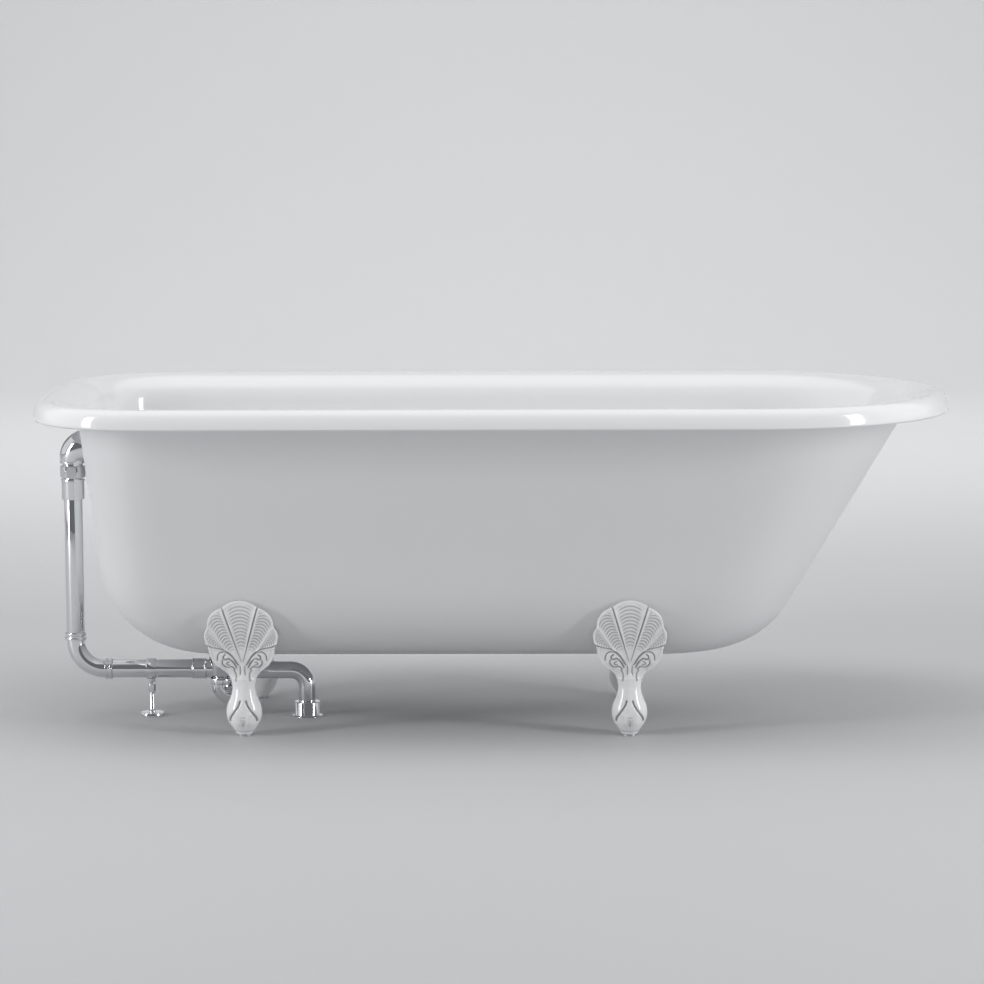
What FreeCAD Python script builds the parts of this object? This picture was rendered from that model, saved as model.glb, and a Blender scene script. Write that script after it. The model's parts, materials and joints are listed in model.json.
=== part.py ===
import FreeCAD, Part
import math
import os
from FreeCAD import Vector

# A free-standing roll-top bath on four shell-and-claw feet, with its exposed waste and overflow pipes.
# Millimetres. X runs along the bath from the tap end (-X) to the head end (+X), Y runs across it,
# Z is up, and the origin is on the floor under the middle of the rim.

# ---- the bath ----
rim_length = 1700.0
rim_width = 750.0
rim_height = 622.0
end_radius = 2000.0
corner_radius = 222.0
wall = 10.0
base_height = 138.0

# rim roll, as seen in a cut across it: u is the distance in from the outer edge, v the depth below the crest
crest_inset = 22.0
lip_drop = 32.0
lip_face_radius = 60.0
roll_inset = 52.5
roll_depth = 48.0
roll_radius = 39.5
join_depth = 28.0
join_lap = 4.0
join_hair = 0.05

# slopes of the walls from the vertical, and the radii where they turn into the base
side_slope = 5.0
tap_slope = 7.2
head_slope = 30.9
side_turn = 170.0
tap_turn = 200.0
head_turn = 170.0
section_count = 15

# ---- the feet ----
tap_feet_inset = 390.0
head_feet_inset = 599.0
foot_inset = 185.0
pad_radius = 14.0
pad_thickness = 3.0
pad_stud_radius = 5.0
pad_stud_length = 22.0
# cuts across the leg, from the pad up: height over the pad, lean outwards, half width, half depth
leg_cuts = [(0, 0, 15, 15), (5, 0, 17.5, 17.5), (12, 1, 22.5, 22), (23, 3, 29, 27), (34, 4, 32.5, 29),
            (43, 5, 33, 29), (55, 6, 31, 27), (69, 7, 25, 23), (89, 8, 21, 18), (105, 10, 24, 17),
            (119, 14, 29, 11.5), (130, 17, 30, 10.5)]
# the shell plate: its front face seen from the side, as (lean outwards, height), from the neck up
plate_lean = [(23, 100), (33, 138), (46, 168), (62, 200), (78, 236), (83, 270)]
plate_thickness = 13.0
plate_gap = 0.3
fan_height = 137.0
shell_top = 264.0
lobe_notches = [(32.0, 250.0), (60.5, 211.0)]
lobe_crowns = [(54.0, 236.5), (68.0, 192.0)]
shield_points = [(60.5, 175.0), (57.5, 152.0), (46.9, 134.0), (31.0, 119.0), (22.5, 106.0)]
rib_height = 2.2
rib_width = 3.0
rib_start = 22.0
scroll_place = (25.0, 151.0)
scroll_radii = (11.0, 6.5)
boss_drop = 16.0
lug_thickness = 10.0
lug_width = 34.0
lug_end = 26.0
boss_radius = 18.0
bolt_offset = 45.0
bolt_diameter = 10.0
bolt_grip = 12.0
bolt_head_height = 6.4
bolt_head_flats = 17.0
washer_radius = 11.0
washer_thickness = 2.0

# ---- clearances ----
fit_gap = 0.05
slip = 0.2
butt_gap = 0.5
seat_gap = 0.3

# ---- overflow ----
overflow_drop = 106.0
overflow_hole_radius = 24.0
pipe_radius = 17.5
pipe_wall = 1.5
pipe_inset = 55.0
elbow_radius = 23.0
elbow_turn = 30.0
elbow_stand = 5.0
elbow_flange_radius = 30.0
elbow_flange_thickness = 4.0
elbow_neck_radius = 19.0
elbow_neck_length = 16.0
spigot_radius = 22.0
spigot_bore = 20.0
spigot_back = 3.5
gasket_radius = 29.0
elbow_nut_flats = 42.0
elbow_nut_length = 24.0
elbow_nut_overlap = 10.0
seal_width = 4.0
seal_depth = 1.6
coupling_radius = 22.5
coupling_length = 39.0
coupling_gap = 1.5
grille_radius = 32.0
grille_thickness = 4.0
grille_gap = 0.5
grille_shank_radius = 18.5
grille_shank_wall = 1.5
grille_shank_length = 9.0
grille_hole_radius = 2.6
grille_hole_ring = 11.0
grille_hole_count = 8
bridge_width = 8.0
bridge_thickness = 4.0
bridge_depth = 10.0
grille_screw_radius = 2.5
grille_screw_head = 4.5

# ---- the run along the floor ----
run_drop = 47.0
bend_turn = 55.0
union_radius = 21.0
union_length = 14.0
union_ring = 5.2
union_waist = 19.2
clip_place = 143.0
clip_width = 17.0
clip_thickness = 2.4
clip_slit = 3.0
clip_ear = 9.0
clip_screw_radius = 2.0
clip_screw_head = 3.5
clip_lug_drop = 6.0
clip_lug_width = 12.0
stud_radius = 3.0
stud_in_barrel = 4.0
barrel_flats = 13.0
barrel_gap = 3.1
barrel_length = 16.0
stand_rod_radius = 4.5
stand_rod_in_barrel = 4.0
stand_disc_radius = 23.5
stand_disc_thickness = 7.0
stand_boss_radius = 6.5
stand_boss_height = 7.0
stand_travel = 6.0

# ---- waste, tee and trap ----
waste_inset = 330.0
waste_hole_radius = 21.0
waste_flange_radius = 35.0
waste_flange_thickness = 2.5
upper_seal_thickness = 1.0
waste_tail_radius = 19.0
waste_tail_bore = 16.5
waste_tail_length = 38.0
lower_seal_thickness = 4.0
lower_seal_radius = 31.0
back_nut_flats = 56.0
back_nut_thickness = 9.0
guide_radius = 7.0
guide_height = 12.0
guide_drop = 20.0
guide_rib = 3.0
plug_radius = 27.0
plug_edge = 3.0
plug_crown = 3.0
plug_skirt_radius = 14.0
plug_skirt = 4.0
plug_seal_radius = 16.1
plug_seal_width = 2.6
plug_stem_radius = 4.0
plug_stem_length = 26.0
tee_radius = 22.5
tee_top_gap = 1.0
tee_shoulder_drop = 11.0
tee_cone = 4.0
tee_neck_radius = 17.0
tee_bore = 15.5
tee_nut_radius = 19.3
tee_nut_ring = 20.4
tee_nut_ring_width = 3.0
tee_nut_length = 26.5
tee_nut_stand = 27.3
trap_radius = 19.0
trap_wall = 1.5
trap_turn = 21.0
trap_drop = 29.0
trap_leg = 5.5
trap_nut_radius = 20.5
trap_nut_length = 11.0
trap_outlet_nut_length = 7.0
outlet_radius = 16.0
outlet_wall = 1.5
outlet_rise = 20.0
outlet_reach = 163.0
outlet_turn = 30.0
outlet_end = 0.5
collar_radius = 24.0
collar_height = 28.0
collar_flange_radius = 29.0
collar_flange = 2.0

half_length = rim_length / 2
half_width = rim_width / 2
body_depth = rim_height - base_height
base_top = base_height + wall
base_bottom = base_height
foot_stations = {"tap": tap_feet_inset - half_length, "head": half_length - head_feet_inset}
foot_reach = half_width - foot_inset
lug_top = base_bottom - boss_drop
pipe_line = pipe_inset - half_length
waste_line = waste_inset - half_length
outlet_line = waste_line + outlet_reach
clip_line = pipe_line + clip_place
run_height = base_bottom - run_drop
tee_shoulder = run_height - tee_shoulder_drop
trap_level = run_height - trap_drop

UP = Vector(0, 0, 1)
ALONG = Vector(1, 0, 0)
ACROSS = Vector(0, 1, 0)


# ---- small helpers ----
def rod(radius, start, direction, length):
    """A plain round bar."""
    return Part.makeCylinder(radius, length, start, direction)


def tube(outer, inner, start, direction, length):
    """A round bar with a bore right through it."""
    return rod(outer, start, direction, length).cut(rod(inner, start, direction, length))


def turned(points):
    """A solid of revolution about Z from its half outline, given as (radius, height) corners."""
    corners = [Vector(r, 0, z) for r, z in points]
    return Part.Face(Part.makePolygon(corners + corners[:1])).revolve(Vector(), UP, 360)


def hex_bar(flats, start, direction, length):
    """A hexagonal bar across its flats, along any direction."""
    corner = flats / 2 / math.cos(math.pi / 6)
    angles = [math.pi / 3 * i for i in range(6)]
    corners = [Vector(corner * math.cos(a), corner * math.sin(a), 0) for a in angles]
    bar = Part.Face(Part.makePolygon(corners + corners[:1])).extrude(Vector(0, 0, length))
    bar.Placement = FreeCAD.Placement(start, FreeCAD.Rotation(UP, direction))
    return bar


def bent(radius, centre, start, sweep):
    """A quarter (or other) turn of round bar in the XZ plane, about a line along Y through centre."""
    circle = Part.Circle(start, (start - centre).cross(ACROSS), radius).toShape()
    return Part.Face(Part.Wire(circle)).revolve(centre, ACROSS, sweep)


def prism(points, depth, at):
    """A flat outline in the XZ plane pushed along Y by depth, starting at Y = at."""
    corners = [Vector(x, at, z) for x, z in points]
    return Part.Face(Part.makePolygon(corners + corners[:1])).extrude(Vector(0, depth, 0))


def fused(shapes):
    """One solid from overlapping or touching solids, with no seams left in flat faces."""
    whole = shapes[0].multiFuse(shapes[1:]) if len(shapes) > 1 else shapes[0]
    return whole.removeSplitter()


# ---- the bath's outline and walls ----
def rim_outline(inset):
    """The plan of the rim, moved in by inset, as (kind, data) pieces running round it once."""
    return outline(-half_length + inset, half_length - inset, half_width - inset,
                   end_radius - inset, corner_radius - inset)


def outline(tap_x, head_x, half, end_r, corner_r):
    """Lines and arcs round the bath at one level, from the near side's tap corner to the head and back."""
    corner_x = tap_x + end_r - math.sqrt((end_r - corner_r) ** 2 - (half - corner_r) ** 2)
    corner_y = half - corner_r
    reach = math.hypot(tap_x + end_r - corner_x, corner_y)
    touch_x = tap_x + end_r - end_r * (tap_x + end_r - corner_x) / reach
    touch_y = end_r * corner_y / reach
    mid = math.atan2(touch_y - corner_y, touch_x - corner_x) / 2 + math.pi / 4
    bulge = Vector(corner_x + corner_r * math.cos(mid), corner_y + corner_r * math.sin(mid), 0)
    head_centre = head_x - half
    slant = half * math.sqrt(0.5)
    return [
        ("line", Vector(corner_x, -half, 0), Vector(head_centre, -half, 0)),
        ("arc", Vector(head_centre, -half, 0), Vector(head_centre + slant, -slant, 0), Vector(head_x, 0, 0)),
        ("arc", Vector(head_x, 0, 0), Vector(head_centre + slant, slant, 0), Vector(head_centre, half, 0)),
        ("line", Vector(head_centre, half, 0), Vector(corner_x, half, 0)),
        ("arc", Vector(corner_x, half, 0), bulge, Vector(touch_x, touch_y, 0)),
        ("arc", Vector(touch_x, touch_y, 0), Vector(tap_x, 0, 0), Vector(touch_x, -touch_y, 0)),
        ("arc", Vector(touch_x, -touch_y, 0), Vector(bulge.x, -bulge.y, 0), Vector(corner_x, -half, 0)),
    ]


def outline_wire(pieces, height):
    """The outline's pieces as one closed wire at a height."""
    lift = Vector(0, 0, height)
    edges = []
    for kind, *points in pieces:
        raised = [p + lift for p in points]
        curve = Part.LineSegment(*raised) if kind == "line" else Part.Arc(*raised)
        edges.append(curve.toShape())
    return Part.Wire(edges)


def wall_inset(depth, slope, turn, skin):
    """How far in from the rim's edge a wall stands at a depth. skin is 0 outside and wall inside."""
    lean = math.radians(slope)
    roll = roll_radius - wall + skin
    line_start = roll_depth - roll * math.sin(lean)
    if depth < line_start:
        return roll_inset + math.sqrt(roll ** 2 - (roll_depth - depth) ** 2)
    line = roll_inset + roll * math.cos(lean) + (depth - line_start) * math.tan(lean)
    radius = turn - skin
    centre_v = body_depth - turn
    if depth <= centre_v + radius * math.sin(lean):
        return line
    centre_line = roll_inset + roll * math.cos(lean) + (centre_v - line_start) * math.tan(lean)
    centre_u = centre_line + radius / math.cos(lean)
    across = max(radius ** 2 - (depth - centre_v) ** 2, 0.0)
    return centre_u - math.sqrt(across)


def side_half(height, skin=0.0):
    """The bath's half width at a height, outside or inside."""
    return half_width - wall_inset(rim_height - height, side_slope, side_turn, skin)


def tap_face(height, skin=0.0):
    """Where the tap end's wall stands along X at a height, outside or inside, on the centre line."""
    return -half_length + wall_inset(rim_height - height, tap_slope, tap_turn, skin)


def wall_section(depth, skin):
    """The bath's level cut at a depth, a hair inside the wall's face so that it beds into the rim's band."""
    grow = join_hair if skin else -join_hair
    if depth <= join_depth:
        inset = wall_inset(depth, side_slope, side_turn, skin) - grow
        return outline_wire(rim_outline(inset), rim_height - depth)
    join_inset = wall_inset(join_depth, side_slope, side_turn, skin)
    corner_share = (corner_radius - join_inset) / (half_width - join_inset)
    half = half_width - wall_inset(depth, side_slope, side_turn, skin) + grow
    tap_x = -half_length + wall_inset(depth, tap_slope, tap_turn, skin) - grow
    head_x = half_length - wall_inset(depth, head_slope, head_turn, skin) + grow
    pieces = outline(tap_x, head_x, half, end_radius - join_inset, corner_share * half)
    return outline_wire(pieces, rim_height - depth)


def wall_body(skin):
    """The solid inside the outer (skin 0) or inner (skin wall) face of the walls, from join to base."""
    bottom = body_depth - skin
    swing = [math.pi / 2 * i / (section_count - 1) for i in range(section_count)]
    depths = [join_depth + (bottom - join_depth) * math.sin(a) for a in swing]
    # the first few millimetres under the join still belong to the roll, so they get cuts of their own
    depths = sorted(depths + [join_depth - join_lap, join_depth + 6, join_depth + 13])
    return Part.makeLoft([wall_section(d, skin) for d in depths], True, False)


def rim_profile():
    """The cut across the rim: a band one wall thick, round the lip, over the crest and down to the join."""
    lip_centre = Vector(lip_face_radius, 0, -lip_drop)
    crest_run = lip_face_radius - crest_inset
    lip_r = (lip_face_radius ** 2 - crest_run ** 2 - lip_drop ** 2) / (2 * (lip_face_radius - lip_drop))
    crest_low = Vector(crest_inset, 0, -lip_r)
    roll_centre = Vector(roll_inset, 0, -roll_depth)
    run = roll_inset - crest_inset
    top_r = (run ** 2 + roll_depth ** 2 - roll_radius ** 2) / (2 * (roll_depth - roll_radius))
    top_centre = Vector(crest_inset, 0, -top_r)
    lip_line = (crest_low - lip_centre).normalize()
    roll_line = (roll_centre - top_centre).normalize()

    def track(skin):
        """The lip face, crest and roll arcs, moved in from the outer face by skin."""
        face_r = lip_face_radius - skin
        small_r = lip_r - skin
        big_r = top_r - skin
        roll_r = roll_radius - skin
        foot = lip_centre + Vector(-face_r, 0, 0)
        meet = lip_centre + lip_line * face_r
        crest = Vector(crest_inset, 0, -skin)
        turn_in = top_centre + roll_line * big_r
        end = Vector(roll_inset + math.sqrt(roll_r ** 2 - (roll_depth - join_depth) ** 2), 0, -join_depth)
        face_mid = lip_centre + ((foot - lip_centre).normalize() + lip_line).normalize() * face_r
        small_mid = crest_low + (lip_line + UP).normalize() * small_r
        big_mid = top_centre + (UP + roll_line).normalize() * big_r
        roll_mid = roll_centre + (roll_line + (end - roll_centre).normalize()).normalize() * roll_r
        return [(foot, face_mid, meet), (meet, small_mid, crest), (crest, big_mid, turn_in),
                (turn_in, roll_mid, end)]

    outer = track(0.0)
    inner = track(wall)
    edges = [Part.Arc(*three).toShape() for three in outer + inner]
    lip_mid = (outer[0][0] + inner[0][0]) * 0.5 - UP * (wall / 2)
    edges.append(Part.Arc(outer[0][0], lip_mid, inner[0][0]).toShape())
    edges.append(Part.LineSegment(outer[-1][2], inner[-1][2]).toShape())
    return Part.Face(Part.Wire(Part.__sortEdges__(edges)))


def rim_ring():
    """The rim's profile carried round the outline: pushed along its lines and turned about its arcs."""
    profile = rim_profile()
    ring = []
    for kind, start, *rest in rim_outline(0.0):
        end = rest[-1]
        if kind == "line":
            heading = (end - start).normalize()
            placed = place_profile(profile, start, heading)
            ring.append(placed.extrude(end - start))
            continue
        circle = Part.Arc(start, rest[0], end).toShape().Curve
        spoke = start - circle.Center
        heading = UP.cross(spoke).normalize()
        placed = place_profile(profile, start, heading)
        sweep = math.degrees(spoke.getAngle(end - circle.Center))
        ring.append(placed.revolve(circle.Center, UP, sweep))
    return fused(ring)


def place_profile(profile, start, heading):
    """Stands the rim's profile up at a point of the outline, facing along it, its crest at rim height."""
    placed = profile.copy()
    turn = FreeCAD.Rotation(UP.cross(heading), -heading, UP, "XZY")
    placed.Placement = FreeCAD.Placement(start + UP * rim_height, turn)
    return placed


def overflow_height():
    """The height of the overflow's axis."""
    return rim_height - overflow_drop


def foot_places():
    """Each foot's name, its station along the bath and its side: -1 near, +1 far."""
    return [("foot_%s_%s" % (end, name), x, side)
            for end, x in foot_stations.items() for name, side in (("near", -1), ("far", 1))]


def bolt_line():
    """How far the foot bolts stand from the bath's centre plane."""
    return foot_reach - bolt_offset


def tub_shell(outside, inside):
    """The bath: rolled rim, sloping walls and base in one casting, with bosses for the feet."""
    bosses = []
    drills = []
    for _, x, side in foot_places():
        seat = Vector(x, side * bolt_line(), lug_top)
        bosses.append(rod(boss_radius, seat, UP, base_top - lug_top).cut(inside))
        drills.append(rod(bolt_diameter / 2 + slip / 2, seat, UP, bolt_grip + 2))
    shell = fused([outside.cut(inside), rim_ring()] + bosses)
    recess = waste_flange_radius + 1
    hole_start = Vector(tap_face(overflow_height()) - wall, 0, overflow_height())
    drills.append(rod(waste_hole_radius, Vector(waste_line, 0, base_bottom - wall), UP, 3 * wall))
    drills.append(rod(recess, Vector(waste_line, 0, base_top - upper_seal_thickness), UP, wall))
    drills.append(rod(overflow_hole_radius, hole_start, ALONG, 4 * wall))
    return shell.cut(Part.makeCompound(drills))


# ---- feet, made facing -Y over the origin's station, then turned into place ----
def on_side(shape, x, side):
    """Puts a shape made for the near side at a station of either side."""
    placed = shape.copy()
    if side > 0:
        placed.rotate(Vector(), UP, 180)
    placed.translate(Vector(x, 0, 0))
    return placed


def side_body(grow):
    """The bath's side as a plain prism over one foot's width, grown by a gap."""
    reach = 2 * shield_points[0][0]
    levels = [base_bottom + side_turn * (1 - math.cos(math.pi / 24 * i)) for i in range(13)]
    face = [Vector(-reach, -side_half(z) - grow, z - grow) for z in levels[1:]]
    low = Vector(-reach, -side_half(base_bottom + 0.001), base_bottom - grow)
    curve = Part.BSplineCurve()
    curve.interpolate([low] + face)
    top = face[-1]
    corners = [top, Vector(-reach, 0, top.z), Vector(-reach, 0, low.z), low]
    section = Part.Wire([curve.toShape()] + Part.makePolygon(corners).Edges)
    return Part.Face(section).extrude(Vector(2 * reach, 0, 0))


def plate_slab(proud):
    """The curved slab that the shell plate is cut from, standing proud of its front face by an amount."""
    reach = 2 * shield_points[0][0]
    front = [Vector(-reach, -foot_reach - lean - proud, z) for lean, z in plate_lean]
    back = [p + Vector(0, plate_thickness + proud, 0) for p in front]
    faces = []
    for points in (front, back):
        curve = Part.BSplineCurve()
        curve.interpolate(points)
        faces.append(curve.toShape())
    ends = [Part.makeLine(front[0], back[0]), Part.makeLine(front[-1], back[-1])]
    return Part.Face(Part.Wire(Part.__sortEdges__(faces + ends))).extrude(Vector(2 * reach, 0, 0))


def shell_outline():
    """The shell plate from the front: three crowned lobes and two half lobes over a waisted shield."""
    def at(x, z):
        return Vector(x, 0, z)

    top_x, top_z = lobe_notches[0]
    edges = [Part.Arc(at(-top_x, top_z), at(0, shell_top), at(top_x, top_z)).toShape()]
    for way in (1, -1):
        inner, outer = [at(way * x, z) for x, z in lobe_notches]
        crown, tip = [at(way * x, z) for x, z in lobe_crowns]
        hem, flank, waist, bow, neck = [at(way * x, z) for x, z in shield_points]
        edges += [Part.Arc(*three).toShape()
                  for three in ((inner, crown, outer), (outer, tip, hem),
                                (hem, flank, waist), (waist, bow, neck))]
    low_x, low_z = shield_points[-1]
    edges.append(Part.makeLine(at(-low_x, low_z), at(low_x, low_z)))
    return Part.Face(Part.Wire(Part.__sortEdges__(edges)))


def foot_relief():
    """The ribs between the shell's lobes and the two scrolls, as tall blanks for the slab to trim."""
    depth = foot_reach * 2
    blanks = []
    for way in (1, -1):
        for x, z in lobe_notches + [shield_points[0]]:
            run = Vector(way * x, 0, z - fan_height)
            along = Vector(run).normalize()
            start = along * rib_start + UP * fan_height
            across = along.cross(ACROSS) * (rib_width / 2)
            end = run + UP * fan_height - along * rib_width
            corners = [start - across * 0.5, start + across * 0.5, end + across, end - across]
            blanks.append(prism([(p.x, p.z) for p in corners], depth, -depth))
        centre = Vector(way * scroll_place[0], -depth, scroll_place[1])
        blanks.append(tube(scroll_radii[0], scroll_radii[1], centre, ACROSS, depth))
    return blanks


def foot_shape(bath_side):
    """One shell-and-claw foot with its fixing lug, made for the near side."""
    cuts = []
    for height, lean, half_w, half_d in leg_cuts:
        centre = Vector(0, -foot_reach - lean, pad_thickness + height)
        wide, deep = (half_w, half_d) if half_w >= half_d else (half_d, half_w)
        oval = Part.Ellipse(Vector(), wide + 1e-4, deep).toShape()
        oval.translate(centre)
        cuts.append(Part.Wire(oval))
    leg = Part.makeLoft(cuts, True, False).cut(bath_side)
    fan = shell_outline()
    fan.translate(Vector(0, -2 * foot_reach, 0))
    plate = fan.extrude(Vector(0, 2 * foot_reach, 0)).common(plate_slab(0.0))
    ribs = [blank.common(plate_slab(rib_height)) for blank in foot_relief()]
    lug_run = foot_reach - bolt_line() + lug_end
    lug_corner = Vector(-lug_width / 2, -foot_reach, lug_top - lug_thickness)
    lug = Part.makeBox(lug_width, lug_run, lug_thickness, lug_corner)
    foot = leg.fuse(plate.fuse(ribs).cut(bath_side)).fuse(lug)
    holes = [rod(bolt_diameter / 2 + slip, Vector(0, -bolt_line(), 0), UP, lug_top + 1),
             rod(pad_stud_radius + fit_gap, Vector(), UP, pad_thickness + pad_stud_length + 1)]
    holes[1].translate(Vector(0, -foot_reach, 0))
    return foot.cut(Part.makeCompound(holes)).removeSplitter()


def foot_pad():
    """A levelling pad: a round foot on a threaded stud."""
    centre = Vector(0, -foot_reach, 0)
    return fused([rod(pad_radius, centre, UP, pad_thickness),
                  rod(pad_stud_radius, centre, UP, pad_thickness + pad_stud_length)])


def foot_bolt():
    """The bolt that holds a foot's lug up against its boss."""
    under = lug_top - lug_thickness - washer_thickness
    line = Vector(0, -bolt_line(), under)
    head = hex_bar(bolt_head_flats, line - UP * bolt_head_height, UP, bolt_head_height)
    return fused([head, rod(bolt_diameter / 2, line, UP, lug_top + bolt_grip - under)])


def foot_washer():
    """The washer under a foot bolt's head."""
    base = Vector(0, -bolt_line(), lug_top - lug_thickness - washer_thickness)
    return tube(washer_radius, bolt_diameter / 2 + slip, base, UP, washer_thickness)


# ---- overflow ----
def overflow_elbow():
    """The cast elbow behind the overflow hole, with its flange, spigot, screw bridge and neck."""
    level = overflow_height()
    face = tap_face(level) - elbow_stand
    turn = Vector(pipe_line + elbow_turn, 0, level - elbow_turn)
    mouth = Vector(pipe_line + elbow_turn, 0, level)
    neck = Vector(pipe_line, 0, turn.z - elbow_neck_length)
    bore = pipe_radius - pipe_wall
    inner_wall = tap_face(level, wall)
    flange = Vector(face - elbow_flange_thickness, 0, level)
    solid = fused([bent(elbow_radius, turn, mouth, -90),
                   rod(elbow_flange_radius, flange, ALONG, elbow_flange_thickness),
                   rod(spigot_radius, mouth - ALONG, ALONG, inner_wall - spigot_back - mouth.x + 1),
                   rod(elbow_neck_radius, neck, UP, elbow_neck_length)])
    hollow = fused([bent(bore, turn, mouth, -90), rod(spigot_bore, mouth, ALONG, 2 * elbow_turn),
                    rod(bore, neck - UP, UP, elbow_neck_length + 1)])
    bridge = Part.makeBox(bridge_thickness, 2 * spigot_bore + 1, bridge_width,
                          Vector(-bridge_depth - bridge_thickness, -spigot_bore - 0.5, -bridge_width / 2))
    bridge = bridge.cut(rod(grille_screw_radius + fit_gap, Vector(), -ALONG, 2 * bridge_depth))
    return fused([solid.cut(hollow), on_tap_wall(bridge)])


def on_tap_wall(shape):
    """Puts a shape made against the plane X = 0 on the inside of the tap wall, leaning with it."""
    level = overflow_height()
    placed = shape.copy()
    placed.rotate(Vector(), ACROSS, -tap_slope)
    placed.translate(Vector(tap_face(level, wall) + grille_gap, 0, level))
    return placed


def overflow_gasket(outside):
    """The rubber wedge between the elbow's flange and the outside of the tap wall."""
    level = overflow_height()
    start = Vector(tap_face(level) - elbow_stand, 0, level)
    bath = outside.copy()
    bath.translate(Vector(-seat_gap, 0, 0))
    return tube(gasket_radius, elbow_radius + slip, start, ALONG, 3 * elbow_stand).cut(bath)


def overflow_grille():
    """The round grille inside the bath, with its shank in the elbow's spigot."""
    disc = rod(grille_radius, Vector(), ALONG, grille_thickness)
    front = [edge for edge in disc.Edges if edge.BoundBox.XMin > grille_thickness / 2]
    disc = disc.makeChamfer(grille_thickness / 3, front)
    shank_bore = grille_shank_radius - grille_shank_wall
    shank = tube(grille_shank_radius, shank_bore, Vector(), -ALONG, grille_shank_length)
    holes = [rod(grille_screw_radius + slip, -ALONG, ALONG, 2 * grille_thickness)]
    for i in range(grille_hole_count):
        angle = 2 * math.pi * i / grille_hole_count
        spot = Vector(-1, grille_hole_ring * math.cos(angle), grille_hole_ring * math.sin(angle))
        holes.append(rod(grille_hole_radius, spot, ALONG, 2 * grille_thickness))
    return on_tap_wall(fused([disc, shank]).cut(Part.makeCompound(holes)))


def overflow_screw():
    """The screw that draws the grille and the elbow together through the bath's wall."""
    head = rod(grille_screw_head, Vector(grille_thickness, 0, 0), ALONG, grille_screw_radius)
    shank = rod(grille_screw_radius, Vector(grille_thickness, 0, 0), -ALONG,
                grille_thickness + bridge_depth + bridge_thickness)
    return on_tap_wall(fused([head, shank]))


def neck_end():
    """The height of the elbow neck's lower end."""
    return overflow_height() - elbow_turn - elbow_neck_length


def elbow_nut():
    """The union nut that holds the overflow pipe to the elbow's neck."""
    top = neck_end() + elbow_nut_overlap
    base = Vector(pipe_line, 0, top - elbow_nut_length)
    pocket = Vector(pipe_line, 0, neck_end() - seal_width - 2 * slip)
    nut = hex_bar(elbow_nut_flats, base, UP, elbow_nut_length)
    return nut.cut(fused([rod(pipe_radius + slip, base, UP, elbow_nut_length),
                          rod(elbow_neck_radius + slip, pocket, UP, elbow_nut_length)]))


def coupling_base():
    """The height of the slip coupling's lower end."""
    return neck_end() + elbow_nut_overlap - elbow_nut_length - coupling_gap - coupling_length


def slip_coupling():
    """The sleeve under the elbow's nut, grooved inside for its seal."""
    base = Vector(pipe_line, 0, coupling_base())
    groove = base + UP * ((coupling_length - seal_width) / 2 - slip)
    body = tube(coupling_radius, pipe_radius + slip, base, UP, coupling_length)
    return body.cut(rod(pipe_radius + slip + seal_depth, groove, UP, seal_width + 2 * slip))


def pipe_seals():
    """The rubber rings inside the elbow's nut and the slip coupling."""
    outer = pipe_radius + seal_depth
    spots = [neck_end() - seal_width - slip, coupling_base() + (coupling_length - seal_width) / 2]
    return Part.makeCompound([tube(outer, pipe_radius + slip / 2, Vector(pipe_line, 0, z), UP, seal_width)
                              for z in spots])


def union_middle():
    """How far past the bend's tangent points its unions' middles lie."""
    return butt_gap + union_length / 2


def overflow_pipe():
    """The long upright pipe from the elbow's nut to the lower union."""
    low = run_height + bend_turn + union_middle() + butt_gap / 2
    run = neck_end() - butt_gap - low
    return tube(pipe_radius, pipe_radius - pipe_wall, Vector(pipe_line, 0, low), UP, run)


def union(start, direction):
    """A two-ringed union over the joint between two pipes."""
    ends = [start, start + direction * (union_length - union_ring)]
    body = fused([rod(union_waist, start, direction, union_length)]
                 + [rod(union_radius, end, direction, union_ring) for end in ends])
    return body.cut(rod(pipe_radius + slip, start, direction, union_length))


def lower_union():
    """The union at the foot of the upright pipe."""
    return union(Vector(pipe_line, 0, run_height + bend_turn + butt_gap), UP)


def bend_union():
    """The union at the start of the horizontal pipe."""
    return union(Vector(pipe_line + bend_turn + butt_gap, 0, run_height), ALONG)


def swept_bend(radius):
    """The large bend with its two short straight ends, as a solid bar."""
    tail = union_middle() - butt_gap / 2
    turn = Vector(pipe_line + bend_turn, 0, run_height + bend_turn)
    upper = Vector(pipe_line, 0, turn.z)
    lower = Vector(turn.x, 0, run_height)
    return fused([bent(radius, turn, upper, -90), rod(radius, upper, UP, tail),
                  rod(radius, lower, ALONG, tail)])


def overflow_bend():
    """The large-radius bend from the upright pipe to the horizontal one."""
    return swept_bend(pipe_radius).cut(swept_bend(pipe_radius - pipe_wall))


def tee_joint():
    """Where the horizontal pipe meets the tee's branch, inside the tee's nut."""
    return waste_line - tee_nut_stand - tee_nut_length / 2


def run_pipe():
    """The horizontal pipe from the bend to the tee."""
    start = Vector(pipe_line + bend_turn + union_middle() + butt_gap / 2, 0, run_height)
    return tube(pipe_radius, pipe_radius - pipe_wall, start, ALONG, tee_joint() - butt_gap / 2 - start.x)


def tee_nut():
    """The long nut over the joint at the tee's branch, with a ring at each end."""
    start = Vector(waste_line - tee_nut_stand - tee_nut_length, 0, run_height)
    ends = [start, start + ALONG * (tee_nut_length - tee_nut_ring_width)]
    body = fused([rod(tee_nut_radius, start, ALONG, tee_nut_length)]
                 + [rod(tee_nut_ring, end, ALONG, tee_nut_ring_width) for end in ends])
    return body.cut(rod(pipe_radius + slip, start, ALONG, tee_nut_length))


# ---- the stand under the horizontal pipe ----
def clip_lug_bottom():
    """The underside of the clip's lug."""
    return run_height - pipe_radius - clip_thickness - clip_lug_drop


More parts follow.
